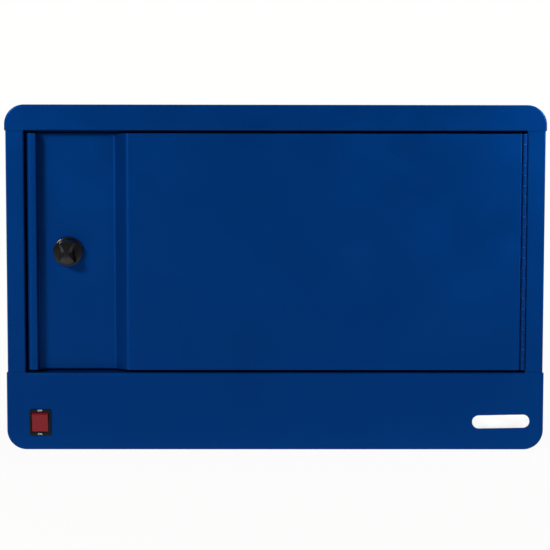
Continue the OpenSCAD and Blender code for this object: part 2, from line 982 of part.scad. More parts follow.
// Socket with a rim, a well and a tongue
module port(x, z) {
    difference() {
        union() {
            slab([x - port_w / 2, strip_y - port_rim_t, z - port_h / 2],
                 [x + port_w / 2, strip_y + port_d, z + port_h / 2]);
            slab([x - port_w / 2 - port_rim, strip_y - port_rim_t, z - port_h / 2 - port_rim],
                 [x + port_w / 2 + port_rim, strip_y, z + port_h / 2 + port_rim]);
        }
        slab([x - port_w / 2 + port_wall, strip_y - port_rim_t - past, z - port_h / 2 + port_wall],
             [x + port_w / 2 - port_wall, strip_y + port_d - port_back, z + port_h / 2 - port_wall]);
    }
    slab([x - tongue_w / 2, strip_y, z],
         [x + tongue_w / 2, strip_y + port_d - port_back + join, z + tongue_t]);
}

module ports(z) {
    for (x = slot_x)
        port(x, z + strip_up + strip_h / 2);
}

module lower_ports() {
    color(black)
        ports(deck_z);
}

module upper_ports() {
    color(black)
        ports(shelf_z);
}

module strip_screws() {
    color(zinc)
        for (x = strip_screw_x, z = [deck_z, shelf_z])
            translate([x, plate_y, z + strip_screw_up])
                rotate([-90, 0, 0])
                    screw(screw_len);
}

// Power bay

module charger_tray() {
    color(zinc)
        difference() {
            union() {
                slab([tray_x0, -tray_d / 2, tray_z], [tray_x1, tray_d / 2, tray_top]);
                for (sy = [-1, 1])
                    slab([tray_x0, sy * (tray_d / 2 - tray_t / 2) - tray_t / 2, floor_z],
                         [tray_x1, sy * (tray_d / 2 - tray_t / 2) + tray_t / 2, tray_z]);
            }
            for (p = tray_studs)
                hole_z(p[0], p[1], stud_d + 2 * screw_gap, tray_z - past, tray_top + past);
            for (p = charger_ears)
                hole_z(p[0], p[1], screw_d + 2 * screw_gap, tray_z - past, tray_top + past);
            for (p = block_fixings)
                hole_z(p[0], p[1], small_screw_d + 2 * screw_gap, tray_z - past, tray_top + past);
        }
}

module hex_nut(across, h, bore) {
    difference() {
        cylinder(r = across / 2 / cos(30), h = h, $fn = 6);
        translate([0, 0, -past])
            cylinder(d = bore, h = h + 2 * past, $fn = 32);
    }
}

module tray_nuts() {
    color(zinc)
        for (p = tray_studs)
            translate([p[0], p[1], tray_top])
                hex_nut(stud_nut_w, stud_nut_t, stud_d + 2 * fit);
}

// Charger unit: a block with four ears and a row of grooves on top
module charger(cx) {
    difference() {
        union() {
            slab([cx - charger_w / 2, -charger_d / 2, tray_top],
                 [cx + charger_w / 2, charger_d / 2, tray_top + charger_h]);
            for (p = charger_ears)
                if (abs(p[0] - cx) < charger_w / 2)
                    slab([p[0] - ear_w / 2, p[1] - ear_l / 2 - join, tray_top],
                         [p[0] + ear_w / 2, p[1] + ear_l / 2, tray_top + ear_t]);
        }
        for (p = charger_ears)
            hole_z(p[0], p[1], screw_d + 2 * screw_gap, tray_top - past, tray_top + ear_t + past);
        for (x = spread(rib_n, charger_w / 2 - rib_end - rib_w))
            slab([cx + x - rib_w / 2, -charger_d / 2 + rib_end, tray_top + charger_h - rib_depth],
                 [cx + x + rib_w / 2, charger_d / 2 - rib_end, tray_top + charger_h + past]);
    }
}

module right_charger() {
    color(black)
        charger(charger_right_x);
}

module left_charger() {
    color(black)
        charger(charger_left_x);
}

module charger_screws() {
    color(zinc)
        for (p = charger_ears)
            translate([p[0], p[1], tray_top + ear_t])
                screw(screw_len);
}

// Three-way terminal block with wire holes along Y and two fixing holes
module terminal_block() {
    color(white)
        difference() {
            slab([block_x - block_w / 2, block_y - block_d / 2, tray_top],
                 [block_x + block_w / 2, block_y + block_d / 2, tray_top + block_h]);
            for (k = [-1:1]) {
                x = block_x + k * block_pitch;
                hole_y(x, block_z, block_bore, block_y - block_d / 2 - past, block_out_y);
                hole_y(x, block_z, block_bore, block_in_y, block_y + block_d / 2 + past);
                hole_z(x, block_y, block_shaft, tray_top + block_h - block_shaft, tray_top + block_h + past);
            }
            for (p = block_fixings)
                translate([p[0], p[1], tray_top + block_h])
                    sunk_hole(block_h + past);
        }
}

// Clamp screws of the three ways and the two screws that hold the block down
module block_screws() {
    color(zinc) {
        for (k = [-1:1])
            translate([block_x + k * block_pitch, block_y, tray_top + block_h - block_shaft])
                difference() {
                    cylinder(d = clamp_screw_d, h = clamp_screw_h, $fn = 24);
                    translate([0, 0, clamp_screw_h - recess_d])
                        translate([-clamp_screw_d / 2, -recess_w / 2, 0])
                            cube([clamp_screw_d, recess_w, recess_d + past]);
                }
        for (p = block_fixings)
            translate([p[0], p[1], tray_top + block_h])
                sunk_screw(block_h + tray_t + block_screw_out);
    }
}

// Power inlet: flange outside the back panel, well inside it
module power_inlet() {
    color(black)
        difference() {
            union() {
                translate([-inlet_x, 0, inlet_z])
                    along_y(plate_y, plate_y + inlet_flange_t)
                        round_rect(inlet_flange_w, inlet_flange_h, inlet_flange_r);
                slab([-inlet_x - inlet_w / 2, plate_y - inlet_depth, inlet_z - inlet_h / 2],
                     [-inlet_x + inlet_w / 2, plate_y + join, inlet_z + inlet_h / 2]);
            }
            slab([-inlet_x - inlet_w / 2 + inlet_wall, plate_y - inlet_depth + inlet_wall,
                  inlet_z - inlet_h / 2 + inlet_wall],
                 [-inlet_x + inlet_w / 2 - inlet_wall, back_y + past, inlet_z + inlet_h / 2 - inlet_wall]);
            for (sx = [-1, 1])
                at_inlet_screw(sx)
                    sunk_hole(inlet_flange_t + past);
            inlet_tabs(pin_w + 2 * fit, tab_t + 2 * fit, past, past);
        }
}

module at_inlet_screw(sx) {
    translate([-inlet_x + sx * inlet_screw_dx / 2, plate_y + inlet_flange_t, inlet_z])
        rotate([-90, 0, 0])
            children();
}

// Three flat pins through the floor of the well, the earth pin above the other two
module inlet_tabs(w, t, out, well) {
    for (p = inlet_tab_places)
        slab([-inlet_x + p[0] - t / 2, plate_y - inlet_depth - out, inlet_z + p[1] - w / 2],
             [-inlet_x + p[0] + t / 2, plate_y - inlet_depth + well + inlet_wall, inlet_z + p[1] + w / 2]);
}

module inlet_pins() {
    color(zinc)
        inlet_tabs(pin_w, tab_t, tab_out, pin_up);
}

module inlet_screws() {
    color(zinc)
        for (sx = [-1, 1])
            at_inlet_screw(sx)
                sunk_screw(inlet_screw_len);
}

// Rocker switch

module switch_housing() {
    color(black)
        difference() {
            union() {
                translate([-switch_x, 0, switch_z])
                    along_y(front_y - bezel_t, front_y)
                        round_rect(bezel_w, bezel_h, bezel_r);
                slab([-switch_x - cut_w / 2, front_y - join, switch_z - cut_h / 2],
                     [-switch_x + cut_w / 2, front_y + body_depth, switch_z + cut_h / 2]);
            }
            slab([-switch_x - rocker_open_w / 2, front_y - bezel_t - past, switch_z - rocker_open_h / 2],
                 [-switch_x + rocker_open_w / 2, front_y + well_depth, switch_z + rocker_open_h / 2]);
            along_x(-switch_x - rocker_open_w / 2 - rocker_pin_len,
                    -switch_x + rocker_open_w / 2 + rocker_pin_len)
                translate([rocker_y, switch_z])
                    circle(d = rocker_pin_d + 2 * running);
            switch_tabs(fit, 0);
        }
}

module switch_tabs(gap, out) {
    for (sx = [-1, 1], sz = [-1, 1])
        slab([-switch_x + sx * switch_tab_dx - tab_t / 2 - gap, front_y + body_depth - switch_tab_in - gap,
              switch_z + sz * switch_tab_dz - tab_w / 2 - gap],
             [-switch_x + sx * switch_tab_dx + tab_t / 2 + gap, front_y + body_depth + out + gap,
              switch_z + sz * switch_tab_dz + tab_w / 2 + gap]);
}

module switch_terminals() {
    color(zinc)
        switch_tabs(0, tab_out);
}

module switch_lamp() {
    color("orange")
        translate([-switch_x, front_y + well_depth, switch_z])
            rotate([90, 0, 0])
                union() {
                    cylinder(d = lamp_d, h = lamp_h, $fn = 32);
                    translate([0, 0, lamp_h])
                        sphere(d = lamp_d, $fn = 32);
                }
}

// Rocker in Y and Z about its pivot: a shallow valley in front and ends round the pivot
module rocker_outline() {
    half = rocker_r;
    rise = half * tan(rocker_tilt);
    intersection() {
        circle(half, $fn = 96);
        polygon([
            [-rocker_valley - rise, half], [-rocker_valley, 0], [-rocker_valley - rise, -half],
            [rocker_back, -half], [rocker_back, half]
        ]);
    }
}

module switch_rocker() {
    half_w = rocker_open_w / 2 - rocker_gap;
    pin_half = rocker_open_w / 2 + rocker_pin_len - rocker_pin_gap;
    hollow = half_w - rocker_wall;
    color(red)
        difference() {
            union() {
                along_x(-switch_x - half_w, -switch_x + half_w)
                    translate([rocker_y, switch_z])
                        rotate([0, 0, rocker_tilt])
                            rocker_outline();
                along_x(-switch_x - pin_half, -switch_x + pin_half)
                    translate([rocker_y, switch_z])
                        circle(d = rocker_pin_d);
            }
            slab([-switch_x - hollow, rocker_y - rocker_valley + rocker_face, switch_z - hollow],
                 [-switch_x + hollow, rocker_y + rocker_back + rocker_face, switch_z + hollow]);
        }
}

// Wiring

// Push-on sleeve over a flat tab: it runs along Y from the tab's root
module sleeve(x, z, y0, dir, w) {
    y1 = y0 + dir * sleeve_len;
    difference() {
        slab([x - sleeve_h / 2, min(y0, y1), z - sleeve_w / 2],
             [x + sleeve_h / 2, max(y0, y1), z + sleeve_w / 2]);
        slab([x - tab_t / 2 - fit, min(y0, y0 + dir * tab_out) - (dir > 0 ? past : fit), z - w / 2 - fit],
             [x + tab_t / 2 + fit, max(y0, y0 + dir * tab_out) + (dir < 0 ? past : fit), z + w / 2 + fit]);
    }
}

module spade_sleeves() {
    color(white) {
        for (sx = [-1, 1], sz = [-1, 1])
            sleeve(-switch_x + sx * switch_tab_dx, switch_z + sz * (switch_tab_dz + sleeve_out),
                   front_y + body_depth, 1, tab_w + sleeve_slack);
        for (p = inlet_tab_places)
            sleeve(-inlet_x + p[0], inlet_z + p[1], plate_y - inlet_depth, -1, pin_w);
    }
}

// Wire from an inlet pin forward to an upper switch tab
module switch_feed(sx, pin) {
    x0 = -inlet_x + inlet_tab_places[pin][0];
    z0 = inlet_z + inlet_tab_places[pin][1];
    x1 = -switch_x + sx * switch_tab_dx;
    z1 = switch_z + switch_tab_dz + sleeve_out;
    tube([[x0, inlet_end_y, z0], [x0, feed_bend_y, z0], [x1, feed_turn_y, z1], [x1, sleeve_end_y, z1]],
         wire_d);
}

// Wire from a lower switch tab back to a way of the terminal block
module switch_return(sx, way) {
    x0 = -switch_x + sx * switch_tab_dx;
    z0 = switch_z - switch_tab_dz - sleeve_out;
    x1 = block_x + way * block_pitch;
    y0 = sleeve_end_y + return_straight - sx * return_step;
    y1 = y0 + return_run;
    tube([[x0, sleeve_end_y, z0], [x0, y0, z0], [x1, y1, block_z], [x1, block_out_y, block_z]],
         wire_d);
}

module live_wires() {
    color("saddlebrown") {
        switch_feed(-1, 0);
        switch_return(1, 1);
    }
}

module neutral_wires() {
    color("royalblue") {
        switch_feed(1, 1);
        switch_return(-1, 0);
    }
}

// Earth wire from the upper inlet pin down to the stud, ending in a ring
module earth_wire() {
    ring_z = floor_z + ring_t;
    z0 = inlet_z + inlet_tab_dz;
    z1 = ring_z + wire_d / 2;
    color("limegreen") {
        tube([[-inlet_x, inlet_end_y, z0], [-inlet_x, inlet_end_y - earth_straight, z0],
              [earth_x, earth_y + earth_drop, z1], [earth_x, earth_y + earth_end, z1]], wire_d);
        difference() {
            hole_z(earth_x, earth_y, ring_d, floor_z, ring_z);
            hole_z(earth_x, earth_y, stud_d + 2 * fit, floor_z - past, ring_z + past);
        }
    }
}

module earth_nut() {
    color(zinc)
        translate([earth_x, earth_y, floor_z + ring_t])
            hex_nut(stud_nut_w, stud_nut_t, stud_d + 2 * fit);
}

// Mains leads from the block to the two chargers, past the rear of the left one
module charger_leads() {
    z = tray_top + charger_h / 2;
    x1 = charger_left_x - charger_w / 2;
    y_run = tray_d / 2 + lead_run;
    color(black) {
        tube([[block_x + block_pitch, block_in_y, block_z], [block_x + block_pitch, lead_y, block_z],
              [x1 - lead_straight, lead_y, z], [x1, lead_y, z]], lead_d);
        tube([[block_x, block_in_y, block_z], [block_x, y_run, block_z],
              [charger_right_x, y_run, z], [charger_right_x, charger_d / 2, z]], lead_d);
    }
}

// Loom from a charger's rear, along the back, up the side channel and into a port strip
module loom(sx, cx, z, run_z) {
    low = tray_top + charger_h - loom_d;
    level = z + strip_up + strip_h / 2;
    tube([[cx, charger_d / 2, low], [cx, channel_y, low], [cx + sx * loom_turn, channel_y, run_z],
          [sx * channel_x, channel_y, run_z], [sx * channel_x, channel_y, level],
          [sx * (strip_x - sheet_t - loom_end), channel_y, level]], loom_d, 10);
}

module usb_looms() {
    color(black) {
        loom(1, charger_right_x + loom_low_x, deck_z, loom_low_run_z);
        loom(-1, charger_left_x - loom_high_x, shelf_z, loom_high_run_z);
    }
}

// Saddle clips that hold the rising looms to the side panels
clip_places = [
    [1, deck_z + clip_up], [-1, deck_z + clip_up], [-1, deck_z + clip_mid], [-1, shelf_z + clip_up]
];

module loom_clips() {
    color(white)
        for (p = clip_places)
            difference() {
                slab([p[0] > 0 ? channel_x - loom_d / 2 - clip_t - fit : -side_in,
                      channel_y - loom_d / 2 - clip_t - fit, p[1]],
                     [p[0] > 0 ? side_in : -channel_x + loom_d / 2 + clip_t + fit,
                      channel_y + loom_d / 2 + clip_t + fit, p[1] + clip_h]);
                slab([p[0] * channel_x - loom_d / 2 - fit, channel_y - loom_d / 2 - fit, p[1] - past],
                     [p[0] * channel_x + loom_d / 2 + fit, channel_y + loom_d / 2 + fit,
                      p[1] + clip_h + past]);
            }
}

// Door stop bumpers: a round pad with a stem through the stop
module door_bumpers() {
    color(rubber)
        for (p = bumper_places) {
            hole_y(p[0], p[1], bumper_d, return_y + bump_gap, stop_y);
            hole_y(p[0], p[1], bumper_stem_d, stop_y - join, stop_back_y + bumper_stem_out);
        }
}

// Hinge. Both leaves are drawn about the axis; side is -1 for the door and 1 for the frame

module hinge_leaf(side, first) {
    translate([hinge_x, hinge_y, hinge_low])
        difference() {
            union() {
                slab([side > 0 ? leaf_back - leaf_t : -leaf_back, leaf_clear, 0],
                     [side > 0 ? leaf_back : -leaf_back + leaf_t, leaf_w, hinge_len]);
                for (k = [first:2:knuckles - 1])
                    translate([0, 0, k * knuckle_pitch + knuckle_gap])
                        linear_extrude(knuckle_pitch - 2 * knuckle_gap) {
                            circle(d = knuckle_d);
                            translate([side > 0 ? leaf_back - leaf_t : -leaf_back, 0])
                                square([leaf_t, leaf_clear + join]);
                        }
            }
            translate([0, 0, -past])
                cylinder(d = hinge_pin_d + 2 * running, h = hinge_len + 2 * past);
        }
}

module rivet_hole(z) {
    translate([0, rivet_y, z])
        rotate([0, 90, 0])
            cylinder(d = rivet_d + 2 * fit, h = far, $fn = 32);
}

module hinge_frame_leaf() {
    color(paint)
        difference() {
            hinge_leaf(1, 0);
            for (z = rivet_z)
                rivet_hole(z);
        }
}

module hinge_door_leaf() {
    color(paint)
        difference() {
            hinge_leaf(-1, 1);
            for (z = rivet_z)
                rivet_hole(z);
        }
}

module hinge_pin() {
    color(zinc)
        translate([hinge_x, hinge_y, hinge_low])
            cylinder(d = hinge_pin_d, h = hinge_len);
}

// Rivet along X through two sheets between x0 and x1, with a flat head on each side
module rivet(x0, x1, z) {
    translate([x0, rivet_y, z])
        rotate([0, 90, 0])
            union() {
                cylinder(d = rivet_d, h = x1 - x0, $fn = 24);
                translate([0, 0, -rivet_head_t])
                    cylinder(d = rivet_head_d, h = rivet_head_t, $fn = 32);
                translate([0, 0, x1 - x0])
                    cylinder(d = rivet_head_d, h = rivet_head_t, $fn = 32);
            }
}

module frame_rivets() {
    color(zinc)
        for (z = rivet_z)
            rivet(open_x - leaf_t, open_x + sheet_t, z);
}

module door_rivets() {
    color(zinc)
        for (z = rivet_z)
            rivet(door_right - sheet_t, door_right + leaf_t, z);
}

// Blank label on the pan: a pill with a soft edge
module label_plate() {
    foot_t = label_t - label_edge;
    color(white)
        translate([label_x, front_y, label_z])
            rotate([90, -label_tilt, 0]) {
                linear_extrude(foot_t)
                    round_rect(label_w, label_h, label_h / 2 - 0.01);
                translate([0, 0, foot_t - 0.01])
                    linear_extrude(label_edge + 0.01)
                        round_rect(label_w - 2 * label_edge, label_h - 2 * label_edge,
                                   label_h / 2 - label_edge - 0.01);
            }
}

// Door

// Front line of the door skin from the left bent edge to the right one, with its bends rounded
door_front_rows = [
    [door_left, return_y, 0], [door_left, door_y, bend_out], [pocket_left, door_y, bend_out],
    [pocket_left, pocket_y, bend_out - sheet_t], [pocket_right, pocket_y, bend_out - sheet_t],
    [slope_right, door_y, bend_out], [door_right, door_y, bend_out], [door_right, return_y, 0]
];

// Back line of the skin, from the right bent edge to the left one
slope_shift = sheet_t * tan(22.5);
bend_in = bend_out - sheet_t;
door_back_rows = [
    [door_right - sheet_t, return_y, 0], [door_right - sheet_t, door_in_y, bend_in],
    [slope_right + slope_shift, door_in_y, bend_in], [pocket_right + slope_shift, washer_y, bend_out],
    [pocket_left - sheet_t, washer_y, bend_out], [pocket_left - sheet_t, door_in_y, bend_in],
    [door_left + sheet_t, door_in_y, bend_in], [door_left + sheet_t, return_y, 0]
];

// Door skin: strip, pocket wall, pocket floor, slope and main panel, with its side edges bent back
module door_panel() {
    color(paint)
        difference() {
            translate([0, 0, door_low])
                linear_extrude(door_top - door_low)
                    polygon(rounded_plan(concat(door_front_rows, door_back_rows)));
            for (z = rivet_z)
                translate([door_right - sheet_t - past, 0, 0])
                    rivet_hole(z);
            hole_y(latch_x, latch_z, barrel_d + 2 * fit, pocket_y - past, washer_y + past);
        }
}

// Plates that close the ends of the folded skin, cut to its back line
module door_end_plates() {
    color(paint)
        for (z = [door_low, door_top - sheet_t])
            translate([0, 0, z])
                linear_extrude(sheet_t)
                    polygon(rounded_plan(door_back_rows));
}

// Hat-shaped channel inside the main panel
module door_stiffener() {
    color(paint)
        translate([stiff_x, door_in_y, door_low + sheet_t + stiff_end])
            linear_extrude(door_top - door_low - 2 * sheet_t - 2 * stiff_end) {
                for (sx = [-1, 1]) {
                    translate([sx * (stiff_w + stiff_wing) / 2 - stiff_wing / 2, 0])
                        square([stiff_wing, sheet_t]);
                    translate([sx * (stiff_w - sheet_t) / 2 - sheet_t / 2, 0])
                        square([sheet_t, stiff_d]);
                }
                translate([-stiff_w / 2, stiff_d - sheet_t])
                    square([stiff_w, sheet_t]);
            }
}

// Latch

module at_latch(y) {
    translate([latch_x, y, latch_z])
        rotate([-90, 0, 0])
            children();
}

module latch_housing() {
    color(zinc)
        at_latch(pocket_y)
            difference() {
                union() {
                    translate([0, 0, -latch_flange_t])
                        cylinder(d = latch_flange_d, h = latch_flange_t);
                    cylinder(d = barrel_d, h = barrel_end_y - pocket_y);
                }
                translate([0, 0, -latch_flange_t - past])
                    cylinder(d = spindle_d + 2 * running, h = far);
            }
}

module latch_washer() {
    color(zinc)
        at_latch(washer_y)
            difference() {
                cylinder(d = latch_washer_d, h = latch_washer_t);
                translate([0, 0, -past])
                    cylinder(d = barrel_d + 2 * fit, h = latch_washer_t + 2 * past);
            }
}

module latch_nut() {
    color(zinc)
        at_latch(nut_y)
            hex_nut(latch_nut_w, latch_nut_t, barrel_d + 2 * fit);
}

// Knob: a round skirt under a grip bar that is waisted by two round scoops
module latch_knob() {
    crown_z = knob_h - knob_lift;
    knob_r = knob_d / 2;
    color(black)
        translate([latch_x, knob_back_y, latch_z])
            rotate([90, 0, 0])
                difference() {
                    union() {
                        rotate_extrude($fn = 96)
                            polygon([
                                [0, 0], [knob_r, 0], [knob_r, skirt_h - knob_rim],
                                [knob_r - knob_rim, skirt_h], [0, skirt_h]
                            ]);
                        difference() {
                            rotate_extrude($fn = 96)
                                polygon([
                                    [0, skirt_h - join], [grip_r, skirt_h - join],
                                    [grip_r - grip_draft, crown_z - grip_edge],
                                    [grip_r - grip_draft - grip_edge, crown_z], [0, crown_z]
                                ]);
                            for (sx = [-1, 1])
                                translate([sx * (grip_w / 2 + scoop_r), 0, skirt_h - join - past])
                                    cylinder(r = scoop_r, h = knob_h, $fn = 96);
                        }
                    }
                    translate([0, 0, -past])
                        cylinder(d = latch_flange_d + past, h = past + latch_flange_t - knob_lift + bump_gap);
                    translate([0, 0, -past])
                        cylinder(d = spindle_d + 2 * fit, h = knob_back_y - spindle_front_y + past);
                }
}

module latch_spindle() {
    color(zinc)
        at_latch(spindle_front_y)
            difference() {
                union() {
                    cylinder(d = spindle_d, h = cam_y - spindle_front_y);
                    translate([-cam_square / 2, -cam_square / 2, 0])
                        cube([cam_square, cam_square, cam_y + cam_t - spindle_front_y]);
                }
                translate([0, 0, cam_y - spindle_front_y - cam_screw_depth - past])
                    cylinder(d = cam_screw_d + 2 * fit, h = far, $fn = 32);
            }
}

// Cam at rest: it points down, clear of the door stop
module latch_cam() {
    color(zinc)
        along_y(cam_y, cam_y + cam_t)
            translate([latch_x, latch_z])
                difference() {
                    union() {
                        circle(d = cam_w);
                        translate([-cam_w / 2, -cam_len + cam_corner])
                            square([cam_w, cam_len - cam_corner]);
                        translate([-cam_w / 2 + cam_corner, -cam_len])
                            square([cam_w - 2 * cam_corner, cam_corner + join]);
                        for (sx = [-1, 1])
                            translate([sx * (cam_w / 2 - cam_corner), -cam_len + cam_corner])
                                circle(cam_corner);
                    }
                    square([cam_square + 2 * fit, cam_square + 2 * fit], center = true);
                }
}

module cam_screw() {
    color(zinc)
        at_latch(cam_y + cam_t)
            union() {
                cylinder(d = cam_screw_flange_d, h = cam_screw_flange_t, $fn = 32);
                translate([0, 0, cam_screw_flange_t])
                    cylinder(r = cam_screw_head_w / 2 / cos(30), h = cam_screw_head_t, $fn = 6);
                translate([0, 0, -cam_t - cam_screw_depth])
                    cylinder(d = cam_screw_d, h = cam_t + cam_screw_depth + join, $fn = 32);
            }
}

top_cap();
base_pan();
left_side();
right_side();
back_panel();
wall_pads();
back_screws();
bay_deck();
deck_bracket_left();
deck_bracket_right();
mid_shelf();
shelf_bracket_left();
shelf_bracket_right();
shelf_screws();
lower_dividers();
upper_dividers();
lower_port_strip();
upper_port_strip();
lower_ports();
upper_ports();
strip_screws();
charger_tray();
tray_nuts();
right_charger();
left_charger();
charger_screws();
terminal_block();
block_screws();
power_inlet();
inlet_pins();
inlet_screws();
switch_housing();
switch_terminals();
switch_lamp();
switch_rocker();
spade_sleeves();
live_wires();
neutral_wires();
earth_wire();
earth_nut();
charger_leads();
usb_looms();
loom_clips();
door_bumpers();
hinge_frame_leaf();
hinge_pin();
frame_rivets();
label_plate();
door_panel();
door_end_plates();
door_stiffener();
hinge_door_leaf();
door_rivets();
latch_housing();
latch_washer();
latch_nut();
latch_knob();
latch_spindle();
latch_cam();
cam_screw();
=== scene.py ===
"""Looks of a phone charging locker box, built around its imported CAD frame.

Lengths are in millimetres until a mesh is made. X runs to the right seen from the
front, Y from the door to the back panel, and Z up.
"""

import json
import logging
from dataclasses import dataclass
from enum import Enum
from typing import Iterable, Sequence

import bmesh
import bpy
import numpy as np
from mathutils import Matrix, Vector
from mathutils.geometry import delaunay_2d_cdt


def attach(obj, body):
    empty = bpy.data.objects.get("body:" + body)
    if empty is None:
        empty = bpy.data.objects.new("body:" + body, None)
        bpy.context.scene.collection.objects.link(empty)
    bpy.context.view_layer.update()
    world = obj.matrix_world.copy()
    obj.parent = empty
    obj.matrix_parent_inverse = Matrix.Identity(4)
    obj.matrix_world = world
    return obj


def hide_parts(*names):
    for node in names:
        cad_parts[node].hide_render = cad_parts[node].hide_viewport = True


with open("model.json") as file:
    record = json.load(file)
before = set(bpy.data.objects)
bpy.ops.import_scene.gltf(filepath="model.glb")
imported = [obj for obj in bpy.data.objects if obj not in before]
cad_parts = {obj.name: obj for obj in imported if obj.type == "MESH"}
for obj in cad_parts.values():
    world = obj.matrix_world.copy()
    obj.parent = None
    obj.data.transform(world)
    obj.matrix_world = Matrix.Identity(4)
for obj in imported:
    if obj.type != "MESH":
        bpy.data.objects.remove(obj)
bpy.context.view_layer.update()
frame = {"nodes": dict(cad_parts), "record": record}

LOG = logging.getLogger("locker")

# Short names of types
Triple = tuple[float, float, float]
Quad = tuple[float, float, float, float]
Socket = bpy.types.NodeSocket
Node = bpy.types.Node

MM = 0.001
# Points nearer to each other than this are merged, in millimetres
MERGE = 0.002
# Slack for finding a point on a line, in millimetres
NEAR = 1e-6
# Kind of flat triangulation that gives whole faces and leaves the holes out
WITH_HOLES = 5
# Points of a full circle
ROUND = 48


# Named choices

class Body(Enum):
    """Bodies of the frame that pieces ride on."""

    CASE = "case"
    DOOR = "door"
    LATCH = "latch"
    ROCKER = "rocker"


class Axis(Enum):
    """Direction that a flat outline is carried along."""

    X = (1, 2, 0)
    Y = (0, 2, 1)
    Z = (0, 1, 2)


# Lines and rings

def rounded_line(rows: Sequence[Triple], steps: int = 6,
                 closed: bool = False) -> np.ndarray:
    """Line through the rows, with each corner replaced by an arc.

    With half the angle at a corner b, the arc of radius r touches both sides at
    r / tan(half) from b, its centre is on the bisector at r / sin(half), and its
    points turn evenly round that centre.

    Args:
        rows: The corner points with the radius there, where 0 keeps it sharp.
        steps: Number of pieces of each arc.
        closed: Whether the line returns to its first point.

    Returns:
        The points, one row each.
    """
    corners = np.array([row[:2] for row in rows], float)
    parts = []
    for i, (_, _, radius) in enumerate(rows):
        if radius <= 0 or (not closed and i in (0, len(rows) - 1)):
            parts.append(corners[i:i + 1])
            continue
        b = corners[i]
        u = corners[i - 1] - b
        v = corners[(i + 1) % len(rows)] - b
        u, v = u / np.hypot(*u), v / np.hypot(*v)
        half = np.arccos(np.clip(u @ v, -1, 1)) / 2
        turn = np.pi - 2 * half
        centre = b + (u + v) / np.hypot(*(u + v)) * radius / np.sin(half)
        start = b + u * radius / np.tan(half) - centre
        end = b + v * radius / np.tan(half) - centre
        t = np.linspace(0, 1, steps + 1)[:, None]
        arc = np.sin((1 - t) * turn) * start + np.sin(t * turn) * end
        parts.append(centre + arc / np.sin(turn))
    return np.vstack(parts)


def offset_line(line: np.ndarray, distance: float, closed: bool = True) -> np.ndarray:
    """Line moved to its left, with mitred corners.

    Each point moves by the sum of the unit normals of its two sides, divided by one
    plus their dot product, so that both sides end up at the distance.

    Args:
        line: Points of the line.
        distance: How far it moves, to the left of its direction.
        closed: Whether the line returns to its first point.

    Returns:
        The moved points.
    """
    before, after = line - np.roll(line, 1, 0), np.roll(line, -1, 0) - line
    if not closed:
        before[0], after[-1] = after[0], before[-1]
    before = before / np.linalg.norm(before, axis=1, keepdims=True)
    after = after / np.linalg.norm(after, axis=1, keepdims=True)
    n0 = np.stack([-before[:, 1], before[:, 0]], 1)
    n1 = np.stack([-after[:, 1], after[:, 0]], 1)
    return line + distance * (n0 + n1) / (1 + (n0 * n1).sum(1, keepdims=True))


def box_ring(half_w: float, half_h: float, radius: float, steps: int = 6) -> np.ndarray:
    """Closed rounded rectangle round the origin, running counter-clockwise."""
    return rounded_line([(half_w, -half_h, radius), (half_w, half_h, radius),
                         (-half_w, half_h, radius), (-half_w, -half_h, radius)], steps, True)


def circle(radius: float, count: int = ROUND) -> np.ndarray:
    """Closed circle round the origin, running counter-clockwise."""
    turn = np.linspace(0, 2 * np.pi, count, endpoint=False)
    return radius * np.stack([np.cos(turn), np.sin(turn)], 1)


def quarter(radius: float, steps: int = 4) -> tuple[np.ndarray, np.ndarray]:
    """Inset and rise of a rounded edge: radius * (1 - cos) and radius * sin of an even turn."""
    turn = np.linspace(0, np.pi / 2, steps + 1)
    return radius * (1 - np.cos(turn)), radius * np.sin(turn)


def lift(flat: np.ndarray, axis: Axis, level: float) -> np.ndarray:
    """Flat points placed at a level of an axis."""
    points = np.empty((len(flat), 3))
    points[:, axis.value[0]] = flat[:, 0]
    points[:, axis.value[1]] = flat[:, 1]
    points[:, axis.value[2]] = level
    return points


# Meshes

def baked(draft: bpy.types.Object) -> bpy.types.Mesh:
    """Mesh of an object with its modifiers or its curve worked out."""
    graph = bpy.context.evaluated_depsgraph_get()
    return bpy.data.meshes.new_from_object(draft.evaluated_get(graph))


